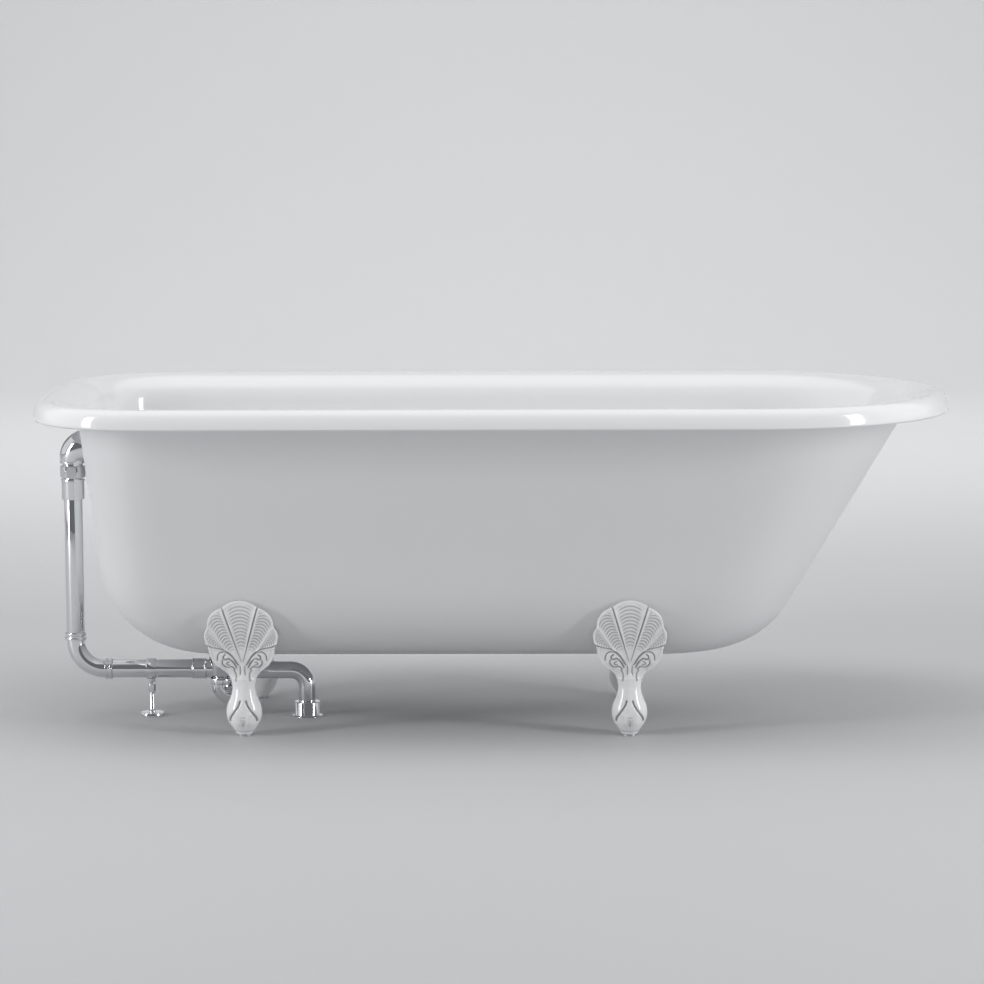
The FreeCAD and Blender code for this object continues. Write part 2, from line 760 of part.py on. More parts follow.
def pipe_clip():
    """The split band round the pipe, with its ears behind and the stand's lug below."""
    start = Vector(clip_line - clip_width / 2, 0, run_height)
    outer = pipe_radius + fit_gap + clip_thickness
    ears = Part.makeBox(clip_width, clip_ear + clip_thickness, clip_slit + 2 * clip_thickness,
                        Vector(start.x, outer - clip_thickness, run_height - clip_slit / 2 - clip_thickness))
    lug = Part.makeBox(clip_lug_width, clip_lug_width, clip_lug_drop + clip_thickness,
                       Vector(clip_line - clip_lug_width / 2, -clip_lug_width / 2, clip_lug_bottom()))
    slit_corner = Vector(start.x, 0, run_height - clip_slit / 2)
    slit = Part.makeBox(clip_width, outer + clip_ear, clip_slit, slit_corner)
    screw = Vector(clip_line, outer + clip_ear / 2, run_height - 2 * outer)
    stud_hole = rod(stud_radius + fit_gap, Vector(clip_line, 0, clip_lug_bottom()), UP, clip_lug_drop)
    cuts = [rod(pipe_radius + fit_gap, start, ALONG, clip_width), slit, stud_hole,
            rod(clip_screw_radius + fit_gap, screw, UP, 4 * outer)]
    return fused([rod(outer, start, ALONG, clip_width), ears, lug]).cut(Part.makeCompound(cuts))


def clip_screw():
    """The screw through the clip's ears."""
    outer = pipe_radius + fit_gap + clip_thickness
    top = run_height + clip_slit / 2 + clip_thickness
    line = Vector(clip_line, outer + clip_ear / 2, top)
    reach = clip_slit + 3 * clip_thickness
    shank = rod(clip_screw_radius, line - UP * reach, UP, reach)
    return fused([rod(clip_screw_head, line, UP, clip_screw_head), shank])


def barrel_top():
    """The top of the stand's barrel nut."""
    return clip_lug_bottom() - barrel_gap


def barrel_base():
    """The underside of the stand's barrel nut."""
    return barrel_top() - barrel_length


def stand_stud():
    """The threaded stud from the clip's lug into the barrel."""
    low = barrel_top() - stud_in_barrel
    return rod(stud_radius, Vector(clip_line, 0, low), UP, clip_lug_bottom() + clip_lug_drop - butt_gap - low)


def stand_barrel():
    """The turning barrel nut between the stud and the stand's rod."""
    base = Vector(clip_line, 0, barrel_base())
    rod_room = stand_rod_in_barrel + stand_travel + butt_gap
    bores = fused([rod(stud_radius + fit_gap, base, UP, barrel_length),
                   rod(stand_rod_radius + fit_gap, base, UP, rod_room)])
    return hex_bar(barrel_flats, base, UP, barrel_length).cut(bores)


def stand_base():
    """The stand's round base with its boss and threaded rod."""
    edge = stand_disc_thickness / 4
    top = stand_disc_thickness + stand_boss_height
    rod_top = barrel_base() + stand_rod_in_barrel
    base = turned([(0, 0), (stand_disc_radius, 0), (stand_disc_radius, stand_disc_thickness - edge),
                   (stand_disc_radius - edge, stand_disc_thickness),
                   (stand_boss_radius, stand_disc_thickness), (stand_boss_radius, top),
                   (stand_rod_radius, top), (stand_rod_radius, rod_top), (0, rod_top)])
    base.translate(Vector(clip_line, 0, 0))
    return base


# ---- waste ----
def flange_top():
    """The top of the waste flange on the bath's floor."""
    return base_top + waste_flange_thickness


def at_waste(shape):
    """Moves a shape made on the Z axis to the waste's axis."""
    shape.translate(Vector(waste_line, 0, 0))
    return shape


def guide_top():
    """The top of the plug stem's guide."""
    return flange_top() - guide_drop + guide_height


def waste_flange():
    """The waste's flange and threaded tail, with the spider that guides the plug's stem."""
    tail = base_top - waste_tail_length
    body = turned([(waste_tail_bore, tail), (waste_tail_radius, tail), (waste_tail_radius, base_top),
                   (waste_flange_radius, base_top), (waste_flange_radius, flange_top() - 1),
                   (waste_flange_radius - 2, flange_top()), (waste_tail_bore, flange_top())])
    low = Vector(0, 0, guide_top() - guide_height)
    spider = [rod(guide_radius, low, UP, guide_height)]
    for i in range(3):
        rib = Part.makeBox(waste_tail_bore + 1, guide_rib, guide_height / 2, low - ACROSS * (guide_rib / 2))
        rib.rotate(low, UP, 120 * i)
        spider.append(rib)
    stem_bore = rod(plug_stem_radius + fit_gap, low - UP, UP, guide_height + 2)
    return at_waste(fused([body] + spider).cut(stem_bore))


def waste_upper_seal():
    """The thin rubber ring under the waste flange, in the bath's recess."""
    return tube(waste_flange_radius - 1, waste_hole_radius + slip,
                Vector(waste_line, 0, base_top - upper_seal_thickness), UP, upper_seal_thickness)


def waste_lower_seal():
    """The thick rubber ring under the bath, above the back nut."""
    return tube(lower_seal_radius, waste_tail_radius + slip,
                Vector(waste_line, 0, base_bottom - lower_seal_thickness), UP, lower_seal_thickness)


def back_nut_base():
    """The underside of the waste's back nut."""
    return base_bottom - lower_seal_thickness - back_nut_thickness


def waste_back_nut():
    """The hexagonal nut that clamps the waste to the bath."""
    low = Vector(waste_line, 0, back_nut_base())
    return hex_bar(back_nut_flats, low, UP, back_nut_thickness).cut(
        rod(waste_tail_radius + fit_gap, low, UP, back_nut_thickness))


def waste_plug():
    """The pop-up plug: a domed cap, a skirt and a stem."""
    seat = flange_top() + seat_gap
    low = guide_top() - plug_stem_length + plug_skirt
    edge = seat + plug_edge
    rim = turned([(0, low), (plug_stem_radius, low), (plug_stem_radius, seat - plug_skirt),
                  (plug_skirt_radius, seat - plug_skirt), (plug_skirt_radius, seat), (plug_radius, seat),
                  (plug_radius, edge), (0, edge)])
    dome_radius = (plug_radius ** 2 + plug_crown ** 2) / (2 * plug_crown)
    dome = Part.makeSphere(dome_radius, Vector(0, 0, edge + plug_crown - dome_radius))
    dome = dome.common(rod(plug_radius, Vector(0, 0, edge), UP, plug_crown + 1))
    return at_waste(fused([rim, dome]))


def plug_seal():
    """The rubber ring on the plug's skirt."""
    return tube(plug_seal_radius, plug_skirt_radius + fit_gap,
                Vector(waste_line, 0, flange_top() + seat_gap - plug_skirt), UP, plug_seal_width)


def trap_top():
    """The top of the trap's inlet leg."""
    return trap_level + trap_leg


def waste_tee():
    """The tee under the waste: a socket for the tail, a branch for the overflow and a neck for the trap."""
    top = back_nut_base() - tee_top_gap
    neck = trap_top() + butt_gap
    socket = base_top - waste_tail_length - tee_top_gap
    body = turned([(0, neck), (tee_neck_radius, neck), (tee_neck_radius, tee_shoulder - tee_cone),
                   (tee_radius, tee_shoulder), (tee_radius, top), (0, top)])
    body.translate(Vector(waste_line, 0, 0))
    branch_end = Vector(tee_joint() + butt_gap / 2, 0, run_height)
    branch = rod(pipe_radius, branch_end, ALONG, waste_line - branch_end.x)
    core = fused([rod(tee_bore, Vector(waste_line, 0, neck), UP, socket - neck),
                  rod(waste_tail_radius + slip, Vector(waste_line, 0, socket), UP, top - socket),
                  rod(tee_bore, branch_end, ALONG, waste_line - branch_end.x)])
    return fused([body, branch]).cut(core)


# ---- trap and outlet ----
def trap_inlet_nut():
    """The nut that joins the tee's neck to the trap."""
    low = Vector(waste_line, 0, trap_level)
    lip = trap_top() + butt_gap / 2 - trap_level
    bores = fused([rod(tee_neck_radius + slip, low, UP, trap_nut_length),
                   rod(trap_radius + slip, low, UP, lip)])
    return rod(trap_nut_radius, low, UP, trap_nut_length).cut(bores)


def trap_bend():
    """The U of the trap, one turned bend between two short legs."""
    turn = Vector(waste_line + trap_turn, 0, trap_level)

    def u_bar(radius):
        """The U as a solid bar."""
        legs = [turn + ALONG * (way * trap_turn) for way in (-1, 1)]
        return fused([bent(radius, turn, legs[0], -180)] + [rod(radius, leg, UP, trap_leg) for leg in legs])

    return u_bar(trap_radius).cut(u_bar(trap_radius - trap_wall))


def trap_outlet_nut():
    """The nut that joins the trap's outlet leg to the outlet pipe."""
    low = Vector(waste_line + 2 * trap_turn, 0, trap_level)
    lip = trap_leg + butt_gap / 2
    bores = fused([rod(outlet_radius + 2 * slip, low, UP, trap_outlet_nut_length),
                   rod(trap_radius + slip, low, UP, lip)])
    return rod(trap_nut_radius, low, UP, trap_outlet_nut_length).cut(bores)


def outlet_bar(radius):
    """The outlet pipe's run as a solid bar: up from the trap, along, and down to the floor."""
    start = Vector(waste_line + 2 * trap_turn, 0, trap_top() + butt_gap)
    first_turn = start + ALONG * outlet_rise
    level = start.z + outlet_rise
    run_start = Vector(first_turn.x, 0, level)
    second_turn = Vector(outlet_line - outlet_turn, 0, level - outlet_turn)
    run_end = Vector(second_turn.x, 0, level)
    drop = Vector(outlet_line, 0, outlet_end)
    return fused([bent(radius, first_turn, start, 90), rod(radius, run_start, ALONG, run_end.x - run_start.x),
                  bent(radius, second_turn, run_end, 90), rod(radius, drop, UP, second_turn.z - outlet_end)])


def outlet_pipe():
    """The outlet pipe from the trap to the floor."""
    return outlet_bar(outlet_radius).cut(outlet_bar(outlet_radius - outlet_wall))


def floor_collar():
    """The collar that slides on the outlet pipe and covers the hole in the floor."""
    foot = Vector(outlet_line, 0, 0)
    body = fused([rod(collar_flange_radius, foot, UP, collar_flange),
                  rod(collar_radius, foot, UP, collar_height)])
    return body.cut(rod(outlet_radius + fit_gap, foot, UP, collar_height))


# ---- all the pieces ----
def all_pieces():
    """Every piece under its name."""
    outside = wall_body(0.0)
    inside = wall_body(wall)
    pieces = {"tub_shell": tub_shell(outside, inside)}
    foot = foot_shape(side_body(plate_gap))
    for name, x, side in foot_places():
        pieces[name] = on_side(foot, x, side)
        pieces[name.replace("foot", "level_pad")] = on_side(foot_pad(), x, side)
    for name, maker in (("foot_bolts", foot_bolt), ("foot_washers", foot_washer)):
        pieces[name] = Part.makeCompound([on_side(maker(), x, side) for _, x, side in foot_places()])
    pieces["overflow_gasket"] = overflow_gasket(outside)
    for maker in (overflow_elbow, overflow_grille, overflow_screw, elbow_nut, slip_coupling,
                  pipe_seals, overflow_pipe, lower_union, overflow_bend, bend_union, run_pipe,
                  tee_nut, pipe_clip, clip_screw, stand_stud, stand_barrel, stand_base,
                  waste_flange, waste_upper_seal, waste_lower_seal, waste_back_nut, waste_plug,
                  plug_seal, waste_tee, trap_inlet_nut, trap_bend, trap_outlet_nut, outlet_pipe,
                  floor_collar):
        pieces[maker.__name__] = maker()
    return pieces


if __name__ == "__main__":
    os.makedirs("parts", exist_ok=True)
    for node, shape in all_pieces().items():
        print(node, "valid" if shape.isValid() else "NOT VALID", len(shape.Solids), round(shape.Volume))
        shape.exportStep("parts/%s.step" % node)
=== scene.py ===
import json
import logging
import math
from dataclasses import dataclass
from enum import Enum
from typing import Iterable, Optional, Sequence

import bmesh
import bpy
import numpy as np
from mathutils import Matrix, Vector

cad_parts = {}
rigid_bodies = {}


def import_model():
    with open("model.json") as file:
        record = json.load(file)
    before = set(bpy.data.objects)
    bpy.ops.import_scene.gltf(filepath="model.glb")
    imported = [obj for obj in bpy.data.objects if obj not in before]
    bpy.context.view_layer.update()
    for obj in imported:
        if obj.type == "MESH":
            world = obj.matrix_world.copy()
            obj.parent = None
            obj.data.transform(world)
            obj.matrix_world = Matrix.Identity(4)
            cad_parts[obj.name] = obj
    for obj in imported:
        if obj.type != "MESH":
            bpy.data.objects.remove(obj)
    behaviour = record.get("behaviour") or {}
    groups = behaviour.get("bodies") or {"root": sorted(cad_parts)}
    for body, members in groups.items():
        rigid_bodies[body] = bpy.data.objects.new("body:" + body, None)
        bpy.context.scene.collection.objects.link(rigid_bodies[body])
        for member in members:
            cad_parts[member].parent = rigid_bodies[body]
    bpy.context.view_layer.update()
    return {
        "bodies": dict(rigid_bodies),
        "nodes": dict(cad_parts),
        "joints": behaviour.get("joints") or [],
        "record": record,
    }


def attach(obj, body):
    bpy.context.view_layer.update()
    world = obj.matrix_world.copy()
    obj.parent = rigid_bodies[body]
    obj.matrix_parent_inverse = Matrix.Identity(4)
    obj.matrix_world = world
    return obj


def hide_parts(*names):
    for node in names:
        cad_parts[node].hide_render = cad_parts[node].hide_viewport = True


# A roll-top bath on shell-and-claw feet with its exposed waste and overflow pipes.
# Shapes are worked out in millimetres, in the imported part's frame, and written to their meshes in metres.

LOG = logging.getLogger("bath")
MM = 0.001
WELD = 1e-3
UP = Vector((0, 0, 1))
ALONG = Vector((1, 0, 0))
ACROSS = Vector((0, 1, 0))
Point = tuple[float, float]
Colour = tuple[float, float, float]


class Slot(Enum):
    """The record's material slots."""

    BATH = "bath_white"
    FEET = "foot_white"
    CHROME = "chrome_plate"
    BRASS = "plain_brass"
    STEEL = "zinc_steel"
    RUBBER = "seal_rubber"


class Body(Enum):
    """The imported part's bodies that new pieces ride on."""

    BATH = "bath"
    PLUG = "plug"
    BARREL = "barrel"
    STAND = "stand"
    COLLAR = "collar"


# ---- finishes ----
def preset(node: bpy.types.Node, values: dict[str, object]) -> None:
    """Sets a node's inputs by their labels."""
    for label, value in values.items():
        node.inputs[label].default_value = value


def wire(links: bpy.types.NodeLinks, *joins: tuple) -> None:
    """Links nodes. Each join is a node, its output's label, the next node and its input's label."""
    for source, leaving, sink, entering in joins:
        links.new(source.outputs[leaving], sink.inputs[entering])


def grain_group() -> bpy.types.NodeTree:
    """Builds, once, the node group that gives every finish its unevenness.

    Returns:
        The group, with a colour, a roughness and a height that change over the surface.
    """
    name = "uneven_finish"
    if name in bpy.data.node_groups:
        return bpy.data.node_groups[name]
    tree = bpy.data.node_groups.new(name, "ShaderNodeTree")
    colours = ("Light", "Dark", "Colour")
    for way, labels in (("INPUT", ("Light", "Dark", "Cloud Scale", "Grain Scale", "Smoothest", "Roughest")),
                        ("OUTPUT", ("Colour", "Roughness", "Height"))):
        for label in labels:
            kind = "NodeSocketColor" if label in colours else "NodeSocketFloat"
            tree.interface.new_socket(name=label, in_out=way, socket_type=kind)
    entry, leave, place, cloud, grain, tone, spread = (tree.nodes.new(kind) for kind in (
        "NodeGroupInput", "NodeGroupOutput", "ShaderNodeTexCoord", "ShaderNodeTexNoise", "ShaderNodeTexNoise",
        "ShaderNodeMix", "ShaderNodeMapRange"))
    tone.data_type = "RGBA"
    preset(cloud, {"Detail": 3})
    preset(grain, {"Detail": 2})
    preset(spread, {"From Min": 0.3, "From Max": 0.7})
    wire(tree.links, (place, "Object", cloud, "Vector"), (place, "Object", grain, "Vector"),
         (entry, "Cloud Scale", cloud, "Scale"), (entry, "Grain Scale", grain, "Scale"),
         (cloud, "Fac", tone, "Factor"), (entry, "Light", tone, "A"), (entry, "Dark", tone, "B"),
         (cloud, "Fac", spread, "Value"), (entry, "Smoothest", spread, "To Min"),
         (entry, "Roughest", spread, "To Max"), (tone, "Result", leave, "Colour"),
         (spread, "Result", leave, "Roughness"), (grain, "Fac", leave, "Height"))
    return tree


@dataclass(frozen=True)
class Finish:
    """A surface finish: its colours, its gloss, the grain that breaks it up and any painted shade in a
    relief's grooves.
    """

    name: str
    slot: Slot
    light: Colour
    dark: Colour
    rough: Point
    metallic: float = 0.0
    cloud_scale: float = 3.0
    grain_scale: float = 60.0
    grain_height: float = 0.00002
    coat: float = 0.0
    coat_rough: float = 0.05
    # the colour of painted shade in a relief's grooves, if any
    groove_shade_tone: Optional[Colour] = None

    def material(self) -> bpy.types.Material:
        """Builds the finish's material, or hands back the one already built.

        Returns:
            The material.
        """
        if self.name in bpy.data.materials:
            return bpy.data.materials[self.name]
        made = bpy.data.materials.new(self.name)
        made.use_nodes = True
        made.diffuse_color = (*self.light, 1.0)
        nodes, links = made.node_tree.nodes, made.node_tree.links
        shader = nodes["Principled BSDF"]
        preset(shader, {"Metallic": self.metallic, "Coat Weight": self.coat,
                        "Coat Roughness": self.coat_rough})
        grain = nodes.new("ShaderNodeGroup")
        grain.node_tree = grain_group()
        smoothest, roughest = self.rough
        preset(grain, {"Light": (*self.light, 1.0), "Dark": (*self.dark, 1.0),
                       "Cloud Scale": self.cloud_scale, "Grain Scale": self.grain_scale,
                       "Smoothest": smoothest, "Roughest": roughest})
        bump = nodes.new("ShaderNodeBump")
        preset(bump, {"Strength": 0.5, "Distance": self.grain_height})
        wire(links, (grain, "Height", bump, "Height"), (bump, "Normal", shader, "Normal"),
             (grain, "Roughness", shader, "Roughness"))
        colour = grain.outputs["Colour"]
        if self.groove_shade_tone:
            colour = self.shaded_groove_colour(nodes, links, colour)
        links.new(colour, shader.inputs["Base Color"])
        return made

    def shaded_groove_colour(self, nodes: bpy.types.Nodes, links: bpy.types.NodeLinks,
                      colour: bpy.types.NodeSocket) -> bpy.types.NodeSocket:
        """Paints shade into the hollows of a relief, darkening them where light doesn't reach.

        Args:
            nodes: The material's nodes.
            links: The material's links.
            colour: The colour outside the hollows.

        Returns:
            The socket with the shaded colour.
        """
        groove_shade_mask = nodes.new("ShaderNodeAttribute")
        groove_shade_mask.attribute_name = "groove_shade_mask"
        tone = nodes.new("ShaderNodeMix")
        tone.data_type = "RGBA"
        tone.inputs["B"].default_value = (*self.groove_shade_tone, 1.0)
        links.new(groove_shade_mask.outputs["Fac"], tone.inputs["Factor"])
        links.new(colour, tone.inputs["A"])
        return tone.outputs["Result"]


GLOSS_WHITE = Finish("bath_gloss_white", Slot.BATH, (0.90, 0.90, 0.905), (0.87, 0.87, 0.88), (0.10, 0.16),
                     cloud_scale=2.0, grain_scale=45.0, grain_height=0.00003, coat=0.6, coat_rough=0.04)
# the outside under the rim: a satin finish, its colour greyed below the gloss white as painted shade for the
# dimmer outer walls
SATIN_SHADED_WHITE = Finish("bath_satin_white_painted_shade", Slot.BATH, (0.72, 0.73, 0.735), (0.69, 0.70, 0.71), (0.34, 0.44),
                     cloud_scale=2.0, grain_scale=90.0, grain_height=0.00003)
# the feet: gloss white, with a dark colour in the carving's grooves as painted shade
FOOT_WHITE = Finish("foot_gloss_white", Slot.FEET, (0.92, 0.92, 0.92), (0.89, 0.89, 0.90), (0.18, 0.28),
                    cloud_scale=12.0, grain_scale=260.0, grain_height=0.00008, coat=0.5, coat_rough=0.08,
                    groove_shade_tone=(0.30, 0.31, 0.32))
CHROME = Finish("polished_chrome", Slot.CHROME, (0.82, 0.83, 0.84), (0.77, 0.78, 0.80), (0.03, 0.06), 1.0,
                cloud_scale=25.0, grain_scale=180.0, grain_height=0.000008)
TURNED_BRASS = Finish("turned_brass", Slot.BRASS, (0.72, 0.56, 0.27), (0.62, 0.47, 0.21), (0.24, 0.36), 1.0,
                      cloud_scale=40.0, grain_scale=500.0, grain_height=0.00003)
ZINC_STEEL = Finish("zinc_plated_steel", Slot.STEEL, (0.66, 0.67, 0.69), (0.56, 0.57, 0.60), (0.28, 0.42),
                    1.0, cloud_scale=60.0, grain_scale=600.0, grain_height=0.00003)
BLACK_RUBBER = Finish("black_rubber", Slot.RUBBER, (0.035, 0.035, 0.036), (0.022, 0.022, 0.023), (0.55, 0.75),
                      cloud_scale=50.0, grain_scale=700.0, grain_height=0.00005)

# the width of a rounding in mm, and the angle in degrees from which an edge gets it
PIPE_EDGE = (0.3, 40.0)


# ---- mesh helpers ----
def facing(at: Vector, axis: Vector) -> Matrix:
    """The matrix that carries the origin to a point and +Z to an axis."""
    return Matrix.Translation(at) @ axis.to_track_quat("Z", "Y").to_matrix().to_4x4()


def ring(bm: bmesh.types.BMesh, at: Vector, axis: Vector, outer: float, inner: float,
         steps: int = 64) -> list[bmesh.types.BMFace]:
    """Makes a flat ring, or a disc where there is no inner radius.

    Args:
        bm: The mesh to add to.
        at: The ring's centre.
        axis: Its normal.
        outer: Outer radius.
        inner: Inner radius, or 0.
        steps: Sides of the circle.

    Returns:
        The ring's faces.
    """
    before = set(bm.faces)
    shared = {"segments": steps, "matrix": facing(at, axis)}
    circle = bmesh.ops.create_circle(bm, cap_ends=not inner, radius=outer, **shared)
    if inner:
        hole = bmesh.ops.create_circle(bm, cap_ends=False, radius=inner, **shared)
        edges = dict.fromkeys(e for v in circle["verts"] + hole["verts"] for e in v.link_edges)
        bmesh.ops.bridge_loops(bm, edges=list(edges))
    return [f for f in bm.faces if f not in before]


def only(geom: Iterable, kind: type) -> list:
    """The faces, edges or corners among the results of a mesh operator."""
    return [part for part in geom if isinstance(part, kind)]


def spun(bm: bmesh.types.BMesh, geom: list, centre: Vector, axis: Vector, degrees: float, steps: int,
         merge: bool = False) -> list:
    """Spins faces, edges and corners about an axle.

    Args:
        bm: The mesh.
        geom: What is spun.
        centre: A point on the axle.
        axis: The axle's direction.
        degrees: How far.
        steps: Rings along the way.
        merge: Whether a full turn closes on its start.

    Returns:
        The last ring.
    """
    out = bmesh.ops.spin(bm, geom=geom, cent=centre, axis=axis, dvec=(0, 0, 0), angle=math.radians(degrees),
                         steps=steps, use_merge=merge, use_normal_flip=False, use_duplicate=False)
    return out["geom_last"]


class Sweep:
    """A bar or tube drawn along runs and turns from a first ring."""

    def __init__(self, bm: bmesh.types.BMesh, at: Vector, axis: Vector, outer: float, inner: float) -> None:
        """Starts the sweep.

        Args:
            bm: The mesh to add to.
            at: Where the bar starts.
            axis: The way it sets off.
            outer: Outer radius.
            inner: Inner radius, or 0 for a solid bar.
        """
        self.bm = bm
        self.at = Vector(at)
        self.axis = Vector(axis)
        self.tip = ring(bm, self.at, self.axis, outer, inner)

    def _geom(self) -> list:
        """The tip's faces, edges and corners."""
        return list(dict.fromkeys(g for f in self.tip for g in (f, *f.edges, *f.verts)))

    def _swing(self, centre: Vector, towards: Vector, degrees: float, steps: int) -> None:
        """Takes the tip about a turn's centre."""
        axle = self.axis.cross(towards)
        self.tip = only(spun(self.bm, self._geom(), centre, axle, degrees, steps), bmesh.types.BMFace)
        turning = Matrix.Rotation(math.radians(degrees), 3, axle)
        self.at = centre + turning @ (self.at - centre)
        self.axis = turning @ self.axis

    def run(self, length: float) -> "Sweep":
        """Draws a straight run."""
        out = bmesh.ops.extrude_face_region(self.bm, geom=self._geom())["geom"]
        self.tip = only(out, bmesh.types.BMFace)
        bmesh.ops.translate(self.bm, verts=only(out, bmesh.types.BMVert), vec=self.axis * length)
        self.at += self.axis * length
        return self

    def turn(self, radius: float, towards: Vector, degrees: float = 90.0, steps: int = 24,
             growth: float = 1.0) -> "Sweep":
        """Draws a turn.

        Args:
            radius: Radius of the turn's middle line.
            towards: The side it turns to, square to the present axis.
            degrees: How far it turns.
            steps: Rings along the turn.
            growth: The last section's size over the first's.

        Returns:
            The sweep itself.
        """
        centre = self.at + towards * radius
        if growth == 1.0:
            self._swing(centre, towards, degrees, steps)
            return self
        size = 1.0
        for i in range(steps):
            self._swing(centre, (centre - self.at).normalized(), degrees / steps, 1)
            share = (i + 1) / steps
            # the section grows fast at first and has its full size where the turn ends
            wanted = 1 + (growth - 1) * share * (2 - share)
            here = Matrix.Translation(self.at)
            spread = here @ Matrix.Scale(wanted / size, 4) @ here.inverted()
            corners = dict.fromkeys(v for f in self.tip for v in f.verts)
            bmesh.ops.transform(self.bm, matrix=spread, verts=list(corners))
            size = wanted
        return self


def lathe(bm: bmesh.types.BMesh, profile: Sequence[Point], at: Vector, axis: Vector, steps: int = 72) -> list:
    """Turns a profile about an axis.

    Args:
        bm: The mesh to add to.
        profile: (distance along the axis, radius) corners. It closes on itself unless it ends on the axis.
        at: The axis's start.
        axis: The axis's direction.
        steps: Sides of the circle.

    Returns:
        The turned corners.
    """
    frame = facing(at, axis)
    before = set(bm.verts)
    corners = [bm.verts.new(frame @ Vector((radius, 0, along))) for along, radius in profile]
    edges = [bm.edges.new(pair) for pair in zip(corners, corners[1:])]
    if profile[0][1] or profile[-1][1]:
        edges.append(bm.edges.new((corners[-1], corners[0])))
    spun(bm, corners + edges, at, axis, 360, steps, merge=True)
    made = [v for v in bm.verts if v not in before]
    bmesh.ops.remove_doubles(bm, verts=made, dist=1e-4)
    return [v for v in bm.verts if v not in before]


def hexed(verts: Iterable[bmesh.types.BMVert], at: Vector, axis: Vector, flats: float) -> None:
    """Mills six flats on a turned blank.

    Args:
        verts: The blank's corners.
        at: A point on its axis.
        axis: Its axis.
        flats: Width across the flats.
    """
    back = facing(at, axis).inverted()
    forth = back.inverted()
    for vert in verts:
        local = back @ vert.co
        radius = math.hypot(local.x, local.y)
        turn = (math.degrees(math.atan2(local.y, local.x)) % 60.0) - 30.0
        limit = flats / 2 / math.cos(math.radians(turn))
        if radius > limit:
            vert.co = forth @ Vector((local.x * limit / radius, local.y * limit / radius, local.z))


def band(low: float, high: float, radius: float, edge: float) -> list[Point]:
    """A stretch of a profile at one radius, with both its edges broken."""
    return [(low, radius - edge), (low + edge, radius), (high - edge, radius), (high, radius - edge)]


def mirrored(half: Sequence[Point], length: float) -> list[Point]:
    """A profile that is the same from both its ends, from its first half."""
    return [*half, *((length - along, radius) for along, radius in reversed(half))]


def nut_profile(length: float, corner: float, bore: float, bevel: float) -> list[Point]:
    """The blank of a nut, chamfered at both ends, with rows along it for the flats to follow."""
    rise = corner * 0.11
    return mirrored([(0, bore), (0, corner - rise - 1), (bevel * 0.4, corner - rise),
                     (bevel, corner - rise * 0.4), (bevel * 1.8, corner)], length)


def soften(bm: bmesh.types.BMesh, width: float, angle: float = 30.0, segments: int = 2) -> None:
    """Rounds every edge sharper than an angle.

    Args:
        bm: The mesh.
        width: Width of the rounding.
        angle: Edges under this many degrees stay.
        segments: Faces across the rounding.
    """
    bmesh.ops.recalc_face_normals(bm, faces=bm.faces)
    sharp = [e for e in bm.edges if e.is_manifold and e.calc_face_angle(0.0) > math.radians(angle)]
    bmesh.ops.bevel(bm, geom=sharp, offset=width, offset_type="OFFSET", segments=segments, profile=0.5,
                    affect="EDGES", clamp_overlap=True, material=-1)


def close_holes(bm: bmesh.types.BMesh) -> None:
    """Fills every open loop of edges."""
    bmesh.ops.holes_fill(bm, edges=[e for e in bm.edges if e.is_boundary], sides=0)


def block(bm: bmesh.types.BMesh, frame: Matrix, size: tuple[float, float, float]) -> None:
    """Adds a box of a size about a frame's origin."""
    bmesh.ops.create_cube(bm, size=1.0, matrix=frame @ Matrix.Diagonal((*size, 1)))


def as_mesh(name: str, bm: bmesh.types.BMesh) -> bpy.types.Mesh:
    """Writes a bmesh, which is used up, to a new mesh."""
    mesh = bpy.data.meshes.new(name)
    bm.to_mesh(mesh)
    bm.free()
    return mesh


def placed(name: str, data: bpy.types.ID) -> bpy.types.Object:
    """Makes an object and puts it in the scene."""
    made = bpy.data.objects.new(name, data)
    bpy.context.scene.collection.objects.link(made)
    return made


def add_piece(name: str, bm: bmesh.types.BMesh, finish: Finish, body: Body, stands_for: Sequence[str] = (),
              crease: float = 35.0) -> bpy.types.Object:
    """Makes a finished piece from a mesh in millimetres.

    Args:
        name: The piece's name.
        bm: Its mesh, which is used up.
        finish: Its finish.
        body: The body it rides on.
        stands_for: CAD nodes that it replaces.
        crease: Edges sharper than this many degrees stay sharp.

    Returns:
        The piece.
    """
    bmesh.ops.recalc_face_normals(bm, faces=bm.faces)
    bmesh.ops.scale(bm, vec=(MM, MM, MM), verts=bm.verts)
    mesh = as_mesh(name, bm)
    mesh.shade_smooth()
    mesh.set_sharp_from_angle(angle=math.radians(crease))
    mesh.materials.append(finish.material())
    piece = placed(name, mesh)
    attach(piece, body.value)
    if stands_for:
        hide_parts(*stands_for)
    LOG.info("piece %s: %d faces, %s", name, len(mesh.polygons), finish.name)
    return piece


def with_modifier(bm: bmesh.types.BMesh, kind: str, **settings: object) -> bmesh.types.BMesh:
    """Runs a mesh through one modifier.

    Args:
        bm: The mesh, which is used up.
        kind: The modifier's type.
        **settings: Its settings. A bmesh given as object is made an object for the modifier's use.

    Returns:
        The new mesh.
    """
    holders = []

    def holder(source: bmesh.types.BMesh) -> bpy.types.Object:
        """A passing object that holds a mesh."""
        holders.append(placed("passing", as_mesh("passing", source)))
        return holders[-1]

    blank = holder(bm)
    modifier = blank.modifiers.new(kind, kind)
    for key, value in settings.items():
        setattr(modifier, key, holder(value) if isinstance(value, bmesh.types.BMesh) else value)
    done = bpy.data.meshes.new_from_object(blank.evaluated_get(bpy.context.evaluated_depsgraph_get()))
    out = bmesh.new()
    out.from_mesh(done)
    for held in holders:
        bpy.data.meshes.remove(held.data)
    bpy.data.meshes.remove(done)
    return out


def combined(bm: bmesh.types.BMesh, other: bmesh.types.BMesh,
             operation: str = "DIFFERENCE") -> bmesh.types.BMesh:
    """Cuts a mesh with another, or joins them. Both are used up."""
    bmesh.ops.recalc_face_normals(other, faces=other.faces)
    return with_modifier(bm, "BOOLEAN", operation=operation, solver="EXACT", object=other)


